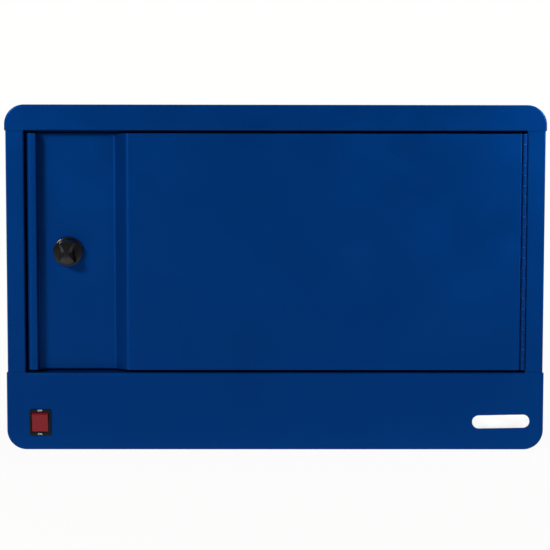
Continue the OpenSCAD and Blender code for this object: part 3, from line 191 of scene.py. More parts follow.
class Surface:
    """Points and faces of one piece in millimetres, gathered from grids and flat faces."""

    def __init__(self) -> None:
        """Starts empty."""
        self.points: list[np.ndarray] = []
        self.faces: list[list[int]] = []
        self.count = 0

    def _store(self, points: np.ndarray) -> int:
        """Keeps the points and returns the index of the first one."""
        first = self.count
        self.points.append(points.reshape(-1, 3))
        self.count += len(self.points[-1])
        return first

    def grid(self, points: np.ndarray, closed: bool = False,
             keep: np.ndarray | None = None) -> None:
        """Adds rows of points as quads.

        Args:
            points: Array of rows by columns by 3.
            closed: Whether the last column joins the first.
            keep: Optional mask of the quads to make, rows - 1 by columns of quads.
        """
        rows, columns = points.shape[:2]
        index = self._store(points) + np.arange(rows * columns).reshape(rows, columns)
        if closed:
            index = np.hstack([index, index[:, :1]])
        quads = np.stack([index[:-1, :-1], index[:-1, 1:], index[1:, 1:], index[1:, :-1]], -1)
        self.faces += (quads.reshape(-1, 4) if keep is None else quads[keep]).tolist()

    def face(self, points: np.ndarray) -> None:
        """Adds one flat face round the points."""
        first = self._store(points)
        self.faces.append(list(range(first, first + len(points))))

    def plate(self, loops: Sequence[np.ndarray], axis: Axis, level: float) -> None:
        """Adds a flat face with holes: the area inside an odd number of the loops."""
        flat = np.vstack(loops)
        ends = np.cumsum([len(loop) for loop in loops])
        edges = [(i, i + 1 if i + 1 < end else start)
                 for start, end in zip(np.r_[0, ends[:-1]].tolist(), ends.tolist())
                 for i in range(start, end)]
        found = delaunay_2d_cdt(flat.tolist(), edges, [], WITH_HOLES, NEAR)
        first = self._store(lift(np.array([tuple(p) for p in found[0]]), axis, level))
        self.faces += [[first + i for i in face] for face in found[2]]

    def rings(self, rings: Sequence[np.ndarray], axis: Axis, levels: Iterable[float],
              start: bool = True, end: bool = True) -> None:
        """Adds closed rings joined in their order, with flat faces on the first and the last."""
        stack = np.stack([lift(ring, axis, level) for ring, level in zip(rings, levels)])
        self.grid(stack, closed=True)
        if start:
            self.face(stack[0])
        if end:
            self.face(stack[-1])

    def prism(self, ring: np.ndarray, axis: Axis, low: float, high: float, edge: float = 0.3,
              steps: int = 2) -> None:
        """Adds an outline carried along an axis, with its two rims rounded by edge."""
        inset, rise = quarter(edge, steps)
        rows = [offset_line(ring, d) for d in inset]
        self.rings(rows[::-1] + rows, axis, np.r_[low + edge - rise[::-1], high - edge + rise])

    def box(self, low: Sequence[float], high: Sequence[float], edge: float = 0.2) -> None:
        """Adds a slab between two corners with softened edges."""
        low, high = np.array(low, float), np.array(high, float)
        mid, half = (low + high) / 2, (high - low) / 2
        ring = box_ring(half[0], half[1], edge, 2) + mid[:2]
        self.prism(ring, Axis.Z, low[2], high[2], edge)

    def revolve(self, rows: np.ndarray, centre: np.ndarray, axis: Axis, count: int) -> None:
        """Adds rows of radius and level turned round an axis through the centre."""
        flat = rows[:, 0][:, None, None] * circle(1.0, count)[None] + centre[:2]
        levels = centre[2] + rows[:, 1]
        stack = np.stack([lift(ring, axis, level) for ring, level in zip(flat, levels)])
        self.grid(stack, closed=True)

    def join(self, other: "Surface") -> "Surface":
        """Takes in the points and faces of another surface."""
        first = self._store(np.vstack(other.points))
        self.faces += [[first + i for i in face] for face in other.faces]
        return self

    def mesh(self, name: str, facing: Sequence[float] | None = None) -> bpy.types.Mesh:
        """Makes the mesh in metres, with its doubles merged and its faces turned outwards.

        Args:
            name: Name of the mesh.
            facing: On an open surface, the direction that its largest face looks in.

        Returns:
            The mesh.
        """
        mesh = bpy.data.meshes.new(name)
        mesh.from_pydata((np.vstack(self.points) * MM).tolist(), [], self.faces)
        soft = bmesh.new()
        soft.from_mesh(mesh)
        bmesh.ops.remove_doubles(soft, verts=soft.verts, dist=MERGE * MM)
        bmesh.ops.dissolve_degenerate(soft, edges=soft.edges, dist=MERGE * MM)
        bmesh.ops.recalc_face_normals(soft, faces=soft.faces)
        if facing is not None:
            largest = max(soft.faces, key=lambda f: f.calc_area())
            if np.dot(largest.normal, facing) < 0:
                bmesh.ops.reverse_faces(soft, faces=soft.faces)
        soft.to_mesh(mesh)
        soft.free()
        return mesh

    def thickened(self, thickness: float, facing: Sequence[float]) -> "Surface":
        """Sheet of the thickness behind this open surface.

        Args:
            thickness: Sheet thickness, laid on the side away from the normals.
            facing: Direction that the largest face looks in.

        Returns:
            The closed surface.
        """
        mesh = self.mesh("sheet_draft", facing)
        draft = bpy.data.objects.new("sheet_draft", mesh)
        bpy.context.scene.collection.objects.link(draft)
        wall = draft.modifiers.new("wall", "SOLIDIFY")
        wall.thickness = thickness * MM
        wall.offset = -1
        wall.use_even_offset = True
        wall.use_quality_normals = True
        whole = baked(draft)
        coordinates = np.empty(len(whole.vertices) * 3)
        whole.vertices.foreach_get("co", coordinates)
        sheet = Surface()
        sheet._store(coordinates.reshape(-1, 3) / MM)
        sheet.faces = [list(face.vertices) for face in whole.polygons]
        bpy.data.objects.remove(draft)
        bpy.data.meshes.remove(mesh)
        bpy.data.meshes.remove(whole)
        return sheet


# Shader nodes

class Tree:
    """Short way to fill a node tree."""

    def __init__(self, tree: bpy.types.NodeTree) -> None:
        """Keeps the tree."""
        self.tree = tree

    def link(self, value: Socket, target: Socket) -> None:
        """Links one socket to another."""
        self.tree.links.new(value, target)

    def feed(self, made: Node, inputs: dict) -> Node:
        """Fills inputs of a node, by name or number, with linked sockets or plain values."""
        for key, value in inputs.items():
            if isinstance(value, Socket):
                self.link(value, made.inputs[key])
            else:
                made.inputs[key].default_value = value
        return made

    def node(self, kind: str, inputs: dict | None = None, **settings: object) -> Node:
        """Adds a node.

        Args:
            kind: Name of the node type, without its prefix.
            inputs: Values or sockets for its inputs, by name or number.
            settings: Properties of the node.

        Returns:
            The node.
        """
        made = self.tree.nodes.new("ShaderNode" + kind)
        for key, value in settings.items():
            setattr(made, key, value)
        return self.feed(made, inputs or {})

    def group(self, group: bpy.types.NodeTree, inputs: dict) -> Node:
        """Places a group with its own values."""
        made = self.tree.nodes.new("ShaderNodeGroup")
        made.node_tree = group
        return self.feed(made, inputs)

    def place(self) -> Socket:
        """Object coordinates, in metres."""
        return self.node("TexCoord").outputs["Object"]

    def shine(self, path: Node) -> Socket:
        """Whether a ray is reflected or passed on, from a node of light paths."""
        return self.math("MAXIMUM", path.outputs["Is Glossy Ray"],
                         path.outputs["Is Transmission Ray"])

    def ramp(self, value: Socket, low: float, high: float, to_low: float,
             to_high: float) -> Socket:
        """Value carried from one range to another, with its ends held."""
        made = self.node("MapRange", {"Value": value, "From Min": low, "From Max": high,
                                      "To Min": to_low, "To Max": to_high})
        return made.outputs["Result"]

    def math(self, operation: str, a: object, b: object = 0.0) -> Socket:
        """One sum of two values."""
        return self.node("Math", {0: a, 1: b}, operation=operation).outputs[0]

    def mix(self, factor: object, a: object, b: object,
            blend: str = "MIX") -> Socket:
        """Mix of two colours."""
        made = self.tree.nodes.new("ShaderNodeMix")
        made.data_type = "RGBA"
        made.blend_type = blend
        return self.feed(made, {0: factor, 6: a, 7: b}).outputs[2]


def new_group(name: str, inputs: dict,
              outputs: dict) -> tuple[Tree, Node, Node]:
    """Starts a node group with named sockets.

    Args:
        name: Name of the group.
        inputs: Socket kind and first value of each input.
        outputs: Socket kind of each output.

    Returns:
        Its tree, its input node and its output node.
    """
    group = bpy.data.node_groups.new(name, "ShaderNodeTree")
    for key, (kind, value) in inputs.items():
        made = group.interface.new_socket(key, in_out="INPUT", socket_type="NodeSocket" + kind)
        made.default_value = value
    for key, kind in outputs.items():
        group.interface.new_socket(key, in_out="OUTPUT", socket_type="NodeSocket" + kind)
    return Tree(group), group.nodes.new("NodeGroupInput"), group.nodes.new("NodeGroupOutput")


def linear(colour: Triple) -> Quad:
    """Colour written in 8-bit display values, as the linear colour that a shader takes."""
    share = np.array(colour, float) / 255
    out = np.where(share <= 0.04045, share / 12.92, ((share + 0.055) / 1.055) ** 2.4)
    return (*out.tolist(), 1.0)


class Effects:
    """Shader node groups that several finishes share."""

    # Noise strays from its middle by about a quarter, so a share is stretched by this
    STRETCH = 4.0
    # Cosine between the rounded and the true normal where the paler edge, partly wear and partly
    # painted highlight, starts and where it is full
    FLAT, BENT = 0.995, 0.86
    # Noise levels between which patches of the paler edge grow, and the least that is left of them
    PATCH_LOW, PATCH_HIGH, PATCH_LEAST = 0.35, 0.7, 0.15
    # Size of a speck in its cell, and the noise and its levels between which specks appear
    CORE = 0.16
    THIN_SCALE, THIN_LOW, THIN_HIGH = 35.0, 0.56, 0.72

    def __init__(self) -> None:
        """Builds each group once."""
        self.drift = self._drift()
        self.peel = self._peel()
        self.wear_and_sheen = self._wear_and_sheen_mask()
        self.specks = self._specks()

    def _drift(self) -> bpy.types.NodeTree:
        """Slow change of a colour over the surface: the colour times one plus or minus a share."""
        tree, first, last = new_group(
            "shade_drift", {"Colour": ("Color", (0.5, 0.5, 0.5, 1)), "Share": ("Float", 0.05),
                            "Scale": ("Float", 10.0)}, {"Colour": "Color"})
        cloud = tree.node("TexNoise", {"Vector": tree.place(), "Scale": first.outputs["Scale"],
                                       "Detail": 3.0, "Roughness": 0.55})
        centred = tree.math("SUBTRACT", cloud.outputs["Fac"], 0.5)
        reach = tree.math("MULTIPLY", first.outputs["Share"], self.STRETCH)
        level = tree.math("ADD", tree.math("MULTIPLY", centred, reach), 1.0)
        tint = tree.node("CombineColor", {"Red": level, "Green": level, "Blue": level})
        tree.link(tree.mix(1.0, first.outputs["Colour"], tint.outputs[0], "MULTIPLY"),
                  last.inputs["Colour"])
        return tree.tree

    def _peel(self) -> bpy.types.NodeTree:
        """Height of a sprayed or moulded skin: soft dimples, a finer grain and a long wave."""
        tree, first, last = new_group(
            "skin_height", {"Dimple": ("Float", 700.0), "Grain": ("Float", 2400.0),
                            "Grain Share": ("Float", 0.3), "Wave": ("Float", 12.0),
                            "Wave Share": ("Float", 0.0)}, {"Height": "Float"})
        place = tree.place()
        dimple, grain, wave = (
            tree.node("TexNoise", {"Vector": place, "Scale": first.outputs[key], "Detail": fine})
            for key, fine in (("Dimple", 1.0), ("Grain", 2.0), ("Wave", 0.0)))
        fine = tree.math("MULTIPLY", grain.outputs["Fac"], first.outputs["Grain Share"])
        long = tree.math("MULTIPLY", wave.outputs["Fac"], first.outputs["Wave Share"])
        total = tree.math("ADD", dimple.outputs["Fac"], tree.math("ADD", fine, long))
        tree.link(total, last.inputs["Height"])
        return tree.tree

    def _wear_and_sheen_mask(self) -> bpy.types.NodeTree:
        """Mask of paler edges, partly wear and partly a painted highlight: where a rounded normal
        leaves the true one, broken by noise.
        """
        tree, first, last = new_group(
            "edge_wear_and_sheen", {"Radius": ("Float", 0.0006), "Amount": ("Float", 1.0),
                         "Patches": ("Float", 60.0)}, {"Mask": "Float"})
        soft = tree.node("Bevel", {"Radius": first.outputs["Radius"]}, samples=4)
        true = tree.node("NewGeometry")
        same = tree.node("VectorMath", {0: soft.outputs[0], 1: true.outputs["Normal"]},
                         operation="DOT_PRODUCT")
        edge = tree.ramp(same.outputs["Value"], self.FLAT, self.BENT, 0.0, 1.0)
        patches = tree.node("TexNoise", {"Vector": tree.place(), "Detail": 3.0,
                                         "Scale": first.outputs["Patches"]})
        broken = tree.ramp(patches.outputs["Fac"], self.PATCH_LOW, self.PATCH_HIGH,
                           self.PATCH_LEAST, 1.0)
        sheened_worn_edges = tree.math("MULTIPLY", edge, broken)
        tree.link(tree.math("MULTIPLY", sheened_worn_edges, first.outputs["Amount"]), last.inputs["Mask"])
        return tree.tree

    def _specks(self) -> bpy.types.NodeTree:
        """Mask of sparse fine specks and lint: the cores of small cells, thinned by noise."""
        tree, first, last = new_group(
            "fine_specks", {"Scale": ("Float", 260.0), "Amount": ("Float", 0.3)},
            {"Mask": "Float"})
        place = tree.place()
        cells = tree.node("TexVoronoi", {"Vector": place, "Scale": first.outputs["Scale"]})
        core = tree.ramp(cells.outputs["Distance"], 0.0, self.CORE, 1.0, 0.0)
        thin = tree.node("TexNoise", {"Vector": place, "Scale": self.THIN_SCALE, "Detail": 2.0})
        some = tree.ramp(thin.outputs["Fac"], self.THIN_LOW, self.THIN_HIGH, 0.0, 1.0)
        both = tree.math("MULTIPLY", core, some)
        tree.link(tree.math("MULTIPLY", both, first.outputs["Amount"]), last.inputs["Mask"])
        return tree.tree


@dataclass(frozen=True)
class Finish:
    """Common part of every finish: its slot, colour and gloss."""

    slot: str
    colour: Triple
    rough: float = 0.45
    specular: float = 0.5
    metallic: float = 0.0
    coat: float = 0.0
    coat_rough: float = 0.3

    def make(self, effects: Effects) -> bpy.types.Material:
        """Makes the material.

        Args:
            effects: The shared node groups.

        Returns:
            The material, named after its slot.
        """
        material = bpy.data.materials.new(self.slot + "_finish")
        material.use_nodes = True
        material.node_tree.nodes.clear()
        tree = Tree(material.node_tree)
        shader = tree.node("BsdfPrincipled", {
            "Specular IOR Level": self.specular, "Metallic": self.metallic,
            "Coat Weight": self.coat, "Coat Roughness": self.coat_rough})
        self.dress(tree, shader, effects)
        tree.node("OutputMaterial", {"Surface": shader.outputs[0]})
        return material

    def dress(self, tree: Tree, shader: Node, effects: Effects) -> None:
        """Links colour, roughness and bump. Each finish has its own."""
        raise NotImplementedError

    def bump(self, tree: Tree, shader: Node, height: Socket,
             strength: float, distance: float) -> None:
        """Bumps the normal by a height, where distance is in metres."""
        made = tree.node("Bump", {"Strength": strength, "Distance": distance, "Height": height})
        tree.link(made.outputs["Normal"], shader.inputs["Normal"])


@dataclass(frozen=True)
class Moulded(Finish):
    """Moulded plastic: drifting shade, paler edges that are partly wear and partly a painted
    highlight, specks, haze and a spark texture.

    The edge's radius and the grain's height are in metres, scales are noise cells in a
    metre, and the second grain has the first one's scale times finer.
    """

    drift: float = 0.06
    drift_scale: float = 45.0
    edge: Triple = (90, 90, 95)
    edge_share: float = 0.15
    edge_radius: float = 0.0004
    edge_gloss: float = 0.0
    patches: float = 150.0
    speck: Triple = (150, 150, 150)
    speck_share: float = 0.1
    speck_scale: float = 420.0
    haze_scale: float = 90.0
    haze_detail: float = 3.0
    smoother: float = 0.04
    rougher: float = 0.06
    grain: float = 1800.0
    finer: float = 2.4
    finer_share: float = 0.5
    wave: float = 12.0
    wave_share: float = 0.0
    depth: float = 0.25
    grain_height: float = 0.00005

    def dress(self, tree: Tree, shader: Node, effects: Effects) -> None:
        """Links shade, paler edges of wear and painted highlight, specks, roughness and grain."""
        drift = tree.group(effects.drift, {"Colour": linear(self.colour), "Share": self.drift,
                                           "Scale": self.drift_scale})
        wear_and_sheen = tree.group(effects.wear_and_sheen, {"Radius": self.edge_radius, "Amount": self.edge_share,
                                       "Patches": self.patches})
        # Edges mixed toward the paler edge colour: partly wear, partly a painted highlight
        sheened_worn_edges = tree.mix(wear_and_sheen.outputs["Mask"], drift.outputs["Colour"], linear(self.edge))
        specks = tree.group(effects.specks, {"Scale": self.speck_scale,
                                             "Amount": self.speck_share})
        tree.link(tree.mix(specks.outputs["Mask"], sheened_worn_edges, linear(self.speck)),
                  shader.inputs["Base Color"])
        haze = tree.node("TexNoise", {"Vector": tree.place(), "Scale": self.haze_scale,
                                      "Detail": self.haze_detail})
        rough = tree.ramp(haze.outputs["Fac"], 0.3, 0.7, self.rough - self.smoother,
                          self.rough + self.rougher)
        polish = tree.math("MULTIPLY", wear_and_sheen.outputs["Mask"], self.edge_gloss)
        tree.link(tree.math("SUBTRACT", rough, polish), shader.inputs["Roughness"])
        peel = tree.group(effects.peel, {
            "Dimple": self.grain, "Grain": self.grain * self.finer,
            "Grain Share": self.finer_share, "Wave": self.wave, "Wave Share": self.wave_share})
        self.bump(tree, shader, peel.outputs["Height"], self.depth, self.grain_height)


@dataclass(frozen=True)
class PowderCoat(Moulded):
    """Baked powder coat on sheet steel: soft dimples on a long wave, paler glossier edges that are
    partly wear and partly a painted highlight on the bends.
    """

    drift: float = 0.05
    drift_scale: float = 9.0
    # Paler blue edge colour: partly wear, partly a painted highlight where the bends catch light
    edge: Triple = (40, 96, 168)
    edge_share: float = 0.28
    edge_radius: float = 0.0007
    edge_gloss: float = 0.1
    patches: float = 40.0
    speck: Triple = (120, 140, 160)
    speck_share: float = 0.06
    speck_scale: float = 240.0
    haze_scale: float = 22.0
    haze_detail: float = 4.0
    smoother: float = 0.05
    rougher: float = 0.05
    grain: float = 650.0
    finer: float = 4.0
    finer_share: float = 0.25
    wave: float = 14.0
    wave_share: float = 2.0
    depth: float = 0.35
    grain_height: float = 0.00012


@dataclass(frozen=True)
class ZincPlate(Finish):
    """Bright zinc plate on steel: cloudy spangle, rolling lines and paler edges, partly rubbed and
    partly a painted highlight.
    """

    edge: Triple = (236, 238, 240)
    edge_share: float = 0.5
    drift: float = 0.08
    smoother: float = 0.07
    rougher: float = 0.08
    lines: Triple = (60.0, 2600.0, 2600.0)
    depth: float = 0.18
    line_height: float = 0.00004

    def dress(self, tree: Tree, shader: Node, effects: Effects) -> None:
        """Links the plate: cloud, paler edges of wear and painted highlight, roughness by patch
        and fine rolling lines.
        """
        drift = tree.group(effects.drift, {"Colour": linear(self.colour), "Share": self.drift,
                                           "Scale": 70.0})
        wear_and_sheen = tree.group(effects.wear_and_sheen, {"Radius": 0.0004, "Amount": self.edge_share,
                                       "Patches": 120.0})
        # Edges mixed toward the paler edge colour: partly wear, partly a painted highlight
        tree.link(tree.mix(wear_and_sheen.outputs["Mask"], drift.outputs["Colour"], linear(self.edge)),
                  shader.inputs["Base Color"])
        place = tree.place()
        patch = tree.node("TexVoronoi", {"Vector": place, "Scale": 150.0})
        rough = tree.ramp(patch.outputs["Distance"], 0.0, 0.8, self.rough - self.smoother,
                          self.rough + self.rougher)
        tree.link(rough, shader.inputs["Roughness"])
        turned = tree.node("Mapping", {"Vector": place, "Scale": self.lines})
        rolled = tree.node("TexNoise", {"Vector": turned.outputs[0], "Scale": 1.0,
                                        "Detail": 2.0})
        self.bump(tree, shader, rolled.outputs["Fac"], self.depth, self.line_height)


@dataclass(frozen=True)
class Lens(Finish):
    """Clear tinted lens of the lamp inside the switch."""

    clear: float = 0.6
    drift: float = 0.08
    depth: float = 0.1
    skin_height: float = 0.00003

    def dress(self, tree: Tree, shader: Node, effects: Effects) -> None:
        """Links the tint and a fine moulded skin."""
        drift = tree.group(effects.drift, {"Colour": linear(self.colour), "Share": self.drift,
                                           "Scale": 220.0})
        tree.link(drift.outputs["Colour"], shader.inputs["Base Color"])
        tree.feed(shader, {"Roughness": self.rough, "Transmission Weight": self.clear})
        peel = tree.group(effects.peel, {"Dimple": 900.0, "Grain": 2000.0})
        self.bump(tree, shader, peel.outputs["Height"], self.depth, self.skin_height)


# Every edge colour is paler than its base: partly wear, partly a painted highlight on the edges
FINISHES: tuple[Finish, ...] = (
    PowderCoat("paint", (0, 54, 120), rough=0.42, specular=0.01, metallic=0.6, coat=0.04,
               coat_rough=0.24),
    # hinge_paint is the door blue made a little darker: painted shade that dims the bright hinge
    # knuckles
    PowderCoat("hinge_paint", (1, 49, 110), rough=0.46, specular=0.02, metallic=0.55, coat=0.05,
               coat_rough=0.26),
    ZincPlate("zinc_steel", (196, 199, 204), rough=0.3, metallic=1.0),
    Moulded("port_plastic", (20, 20, 22), rough=0.48),
    Moulded("charger_plastic", (26, 26, 29), rough=0.55, grain=1100.0, depth=0.5),
    Moulded("black_plastic", (6, 8, 15), rough=0.34, specular=0.2, edge=(60, 70, 88)),
    Moulded("knob_plastic", (5, 4, 5), rough=0.4, specular=0.12, coat=0.7, coat_rough=0.1,
            grain=1500.0, depth=0.03, edge=(40, 42, 48), edge_share=0.1),
    Moulded("red_plastic", (122, 20, 26), rough=0.3, specular=0.25, edge=(170, 60, 62),
            depth=0.1),
    Lens("lamp_glass", (255, 150, 60), rough=0.15),
    Moulded("label_plastic", (246, 246, 243), rough=0.22, depth=0.05, edge=(255, 255, 255)),
    Moulded("white_nylon", (232, 232, 224), rough=0.5, edge=(250, 250, 246)),
    Moulded("brown_pvc", (92, 52, 30), rough=0.45, edge=(130, 84, 56)),
    Moulded("blue_pvc", (36, 70, 168), rough=0.45, edge=(84, 116, 200)),
    Moulded("green_pvc", (58, 132, 48), rough=0.45, edge=(120, 176, 100)),
    Moulded("black_pvc", (22, 22, 24), rough=0.5),
    Moulded("rubber", (27, 27, 28), rough=0.75, specular=0.3, grain=900.0, depth=0.5),
)


class Paintbox:
    """Makes every finish once and gives it by slot."""

    def __init__(self) -> None:
        """Makes the node groups and the materials."""
        effects = Effects()
        self.materials = {finish.slot: finish.make(effects) for finish in FINISHES}
        record = frame["record"]
        self.slot_of = {row["node"]: row["material_slot"] for row in record["subparts"]}

    def dress_frame(self) -> None:
        """Gives every CAD node the finish of its slot."""
        for name, node in frame["nodes"].items():
            if not node.material_slots:
                node.data.materials.append(None)
            for slot in node.material_slots:
                slot.material = self.materials[self.slot_of[name]]
        LOG.info("finished %d nodes of the frame", len(frame["nodes"]))


class Shop:
    """Turns surfaces into pieces that ride, replace nodes and carry a finish."""

    # Angles in degrees above which an edge stays sharp, is bevelled, or is a tube's cut end
    SHARP = 34.0
    SHARP_TURNED = 50.0
    BEVELLED = 40.0
    CUT_END = 70.0
    # Weight of large faces when normals are evened, where 50 is neutral
    FACE_WEIGHT = 90

    def __init__(self, paints: Paintbox) -> None:
        """Keeps the finishes."""
        self.paints = paints

    def finish_piece(self, name: str, mesh: bpy.types.Mesh, body: Body, slot: str,
                     nodes: Sequence[str], sharp: float = SHARP) -> bpy.types.Object:
        """Links a mesh as a piece at the origin.

        Args:
            name: Name of the piece.
            mesh: Its mesh, in place.
            body: Body that it rides on.
            slot: Material slot that it takes its finish from.
            nodes: CAD nodes that it stands for.
            sharp: Angle in degrees above which an edge stays sharp.

        Returns:
            The object.
        """
        mesh.shade_smooth()
        mesh.set_sharp_from_angle(angle=np.radians(sharp))
        mesh.materials.clear()
        mesh.materials.append(self.paints.materials[slot])
        made = bpy.data.objects.new(name, mesh)
        bpy.context.scene.collection.objects.link(made)
        even = made.modifiers.new("even_normals", "WEIGHTED_NORMAL")
        even.keep_sharp = True
        even.weight = self.FACE_WEIGHT
        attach(made, body.value)
        if nodes:
            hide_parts(*nodes)
        LOG.info("%s: %d points, rides on %s, slot %s",
                 name, len(mesh.vertices), body.value, slot)
        return made

    def piece(self, name: str, surface: Surface, body: Body, slot: str, nodes: Sequence[str],
              sharp: float = SHARP) -> bpy.types.Object:
        """Makes a piece from a closed surface."""
        return self.finish_piece(name, surface.mesh(name), body, slot, nodes, sharp)

    def merged(self, node: str, body: Body, flat: float) -> bpy.types.Object:
        """Stands a merged copy of a CAD node in its place, its faces flat within flat joined."""
        mesh = frame["nodes"][node].data.copy()
        mesh.name = node + "_soft"
        soft = bmesh.new()
        soft.from_mesh(mesh)
        bmesh.ops.remove_doubles(soft, verts=soft.verts, dist=MERGE * MM)
        bmesh.ops.dissolve_limit(soft, angle_limit=np.radians(flat), verts=soft.verts,
                                 edges=soft.edges)
        soft.to_mesh(mesh)
        soft.free()
        slot = self.paints.slot_of[node]
        return self.finish_piece(node + "_soft", mesh, body, slot, (node,))

    def softened(self, node: str, body: Body, width: float,
                 segments: int = 2) -> bpy.types.Object:
        """Stands a copy of a CAD node with softened edges in its place.

        Args:
            node: The CAD node.
            body: Body that it rides on.
            width: Width of the softened edge in millimetres.
            segments: Steps of the softened edge.

        Returns:
            The object.
        """
        made = self.merged(node, body, 0.5)
        bevel = made.modifiers.new("soft_edges", "BEVEL")
        bevel.width = width * MM
        bevel.segments = segments
        bevel.limit_method = "ANGLE"
        bevel.angle_limit = np.radians(self.BEVELLED)
        made.modifiers.move(1, 0)
        return made

    def rounded(self, node: str, body: Body) -> bpy.types.Object:
        """Stands a rounder copy of CAD tubes in their place, with their cut ends kept sharp."""
        made = self.merged(node, body, 0.1)
        mesh = made.data
        crease = mesh.attributes.new("crease_edge", "FLOAT", "EDGE")
        soft = bmesh.new()
        soft.from_mesh(mesh)
        sharp = [float(e.calc_face_angle(0.0) > np.radians(self.CUT_END)) for e in soft.edges]
        soft.free()
        crease.data.foreach_set("value", sharp)
        smooth = made.modifiers.new("rounder", "SUBSURF")
        smooth.levels = smooth.render_levels = 1
        made.modifiers.move(1, 0)
        return made


# Case

@dataclass
class FoldedCase:
    """Cap, pan and side panels, each folded from one sheet."""

    width: float = 630.0
    height: float = 404.0
    front: float = -113.0
    back: float = 113.0
    sheet: float = 1.2
    corner: float = 23.0
    cap_edge: float = 374.0
    pan_edge: float = 91.0
    fold: float = 1.8
    inner_fold: float = 0.8
    post: float = 21.3
    stop: float = -91.0
    stop_width: float = 13.0
    stop_lip: float = 10.0
    rear: float = 108.8
    flange: float = 15.0
    side_low: float = 46.0
    side_top: float = 381.0
    cutout: Quad = (-276.0, 32.5, 22.4, 28.2)
    tuck: float = 1.0
    corner_steps: int = 14
    fold_steps: int = 5
    slack: float = 0.01
    fold_slack: float = 0.001
    stud_root: float = 1.6
    stud_tip: float = 1.3
    stud_sides: int = 20
    thread: float = 0.4
    half_pitch: float = 0.35
    studs: tuple[Triple, ...] = (
        (-216.0, -64.0, 19.2), (-216.0, 64.0, 19.2), (276.5, -64.0, 19.2), (276.5, 64.0, 19.2),
        (-234.0, 30.0, 12.2))

    @property
    def half(self) -> float:
        """Half of the width over the cap."""
        return self.width / 2

    @property
    def side(self) -> float:
        """Outer face of a side panel."""
        return self.half - self.sheet

    @property
    def opening(self) -> float:
        """Half of the width of the door opening."""
        return self.side - self.post

    @property
    def lip(self) -> float:
        """Inner edge of the door stop."""
        return self.opening - self.stop_width

    def outline(self, edge: float, way: int) -> np.ndarray:
        """Outer line of the cap for way 1 and of the pan for way -1, the inside on its left."""
        far = self.height if way > 0 else 0.0
        rows = [(way * self.half, edge, 0), (way * self.half, far, self.corner),
                (-way * self.half, far, self.corner), (-way * self.half, edge, 0)]
        return rounded_line(rows, self.corner_steps)

    def tray(self, edge: float, way: int, holes: Sequence[np.ndarray] = ()) -> Surface:
        """Bent tray of the cap or the pan.

        The wrap and its front fold are the outline moved inwards by the fold's inset,
        at the fold's depth. The opening's edge is a line in Y and Z, from the front
        plate round its fold, back to the door stop and along the stop's lip.

        Args:
            edge: Level of the edge at the door opening.
            way: 1 for the cap, which lies above its edge, and -1 for the pan.
            holes: Holes in the front plate.

        Returns:
            The closed sheet.
        """
        line = self.outline(edge, way)
        inset, rise = quarter(self.fold, self.fold_steps)
        wrap = np.stack([lift(line, Axis.Y, self.back)] + [
            lift(offset_line(line, d, False), Axis.Y, self.front + self.fold - h)
            for d, h in zip(inset, rise)])
        shell = Surface()
        shell.grid(wrap)
        rim = offset_line(line, self.fold, False)
        notch = edge + way * self.fold
        bottom = np.array([(-way * self.opening, edge), (-way * self.opening, notch),
                           (way * self.opening, notch), (way * self.opening, edge)])
        shell.plate([np.vstack([rim, bottom]), *holes], Axis.Y, self.front)
        turn = rounded_line([(self.front, notch, 0),
                             (self.front, edge, self.fold - self.fold_slack),
                             (self.stop, edge, self.inner_fold),
                             (self.stop, edge - way * self.stop_lip, 0)], self.fold_steps)
        split = int(np.argmax(turn[:, 0] > self.stop - self.inner_fold - self.slack))
        columns = np.array([-self.opening, -self.lip, self.lip, self.opening])
        wide = len(columns)
        across = np.stack([columns[None, :].repeat(len(turn), 0), turn[:, :1].repeat(wide, 1),
                           turn[:, 1:].repeat(wide, 1)], -1)
        shell.grid(across[:split + 1])
        shell.grid(across[split:, 1:3])
        for pair in (slice(0, 2), slice(2, 4)):
            tab = np.stack([across[split, pair], across[split, pair]])
            tab[1, :, 1] = self.stop + self.sheet
            shell.grid(tab)
        sheet = shell.thickened(self.sheet, (0, -1, 0))
        flange = Surface()
        near, far = self.rear - self.sheet, self.rear
        section = [(self.sheet, near), (self.flange, near), (self.flange, far), (self.sheet, far),
                   (self.sheet, near)]
        ring = np.stack([lift(offset_line(line, d, False), Axis.Y, y) for d, y in section])
        flange.grid(ring)
        flange.face(ring[:4, 0])
        flange.face(ring[:4, -1])
        return sheet.join(flange)

    def side_panel(self, way: int) -> Surface:
        """Side panel with its post, return, door stop and rear flange, on the right for way 1."""
        post = self.front + self.sheet
        turn = rounded_line([(self.side, self.back, 0), (self.side, post, self.fold),
                             (self.opening, post, self.fold),
                             (self.opening, self.stop, self.inner_fold),
                             (self.lip, self.stop, 0)], self.fold_steps)
        turn[:, 0] *= way
        shell = Surface()
        shell.grid(np.stack([lift(turn, Axis.Z, z) for z in (self.pan_edge, self.cap_edge)]))
        sheet = shell.thickened(self.sheet, (way, 0, 0))
        inner = self.side - self.sheet
        for low, high in ((self.side_low, self.pan_edge), (self.cap_edge, self.side_top)):
            span = sorted((way * inner, way * self.side))
            sheet.box((span[0], post + self.sheet, low), (span[1], self.rear - self.sheet, high))
            face = sorted((way * self.opening, way * (self.side - self.tuck)))
            sheet.box((face[0], post, low), (face[1], post + self.sheet, high))
        span = sorted((way * inner, way * (self.side - self.flange)))
        sheet.box((span[0], self.rear - self.sheet, self.pan_edge),
                  (span[1], self.rear, self.cap_edge))
        return sheet

    def stud_surface(self) -> Surface:
        """Welded studs of the pan: a thread is a row of short cones turned round each axis."""
        made = Surface()
        for x, y, top in self.studs:
            tall = top - self.sheet
            part = [(self.stud_root + self.thread * (i % 2), self.half_pitch * i)
                    for i in range(int(np.ceil(tall / self.half_pitch)))]
            profile = np.array([(0, 0), *part, (self.stud_tip, tall), (0, tall)])
            made.revolve(profile, np.array([x, y, self.sheet]), Axis.Z, self.stud_sides)
        return made

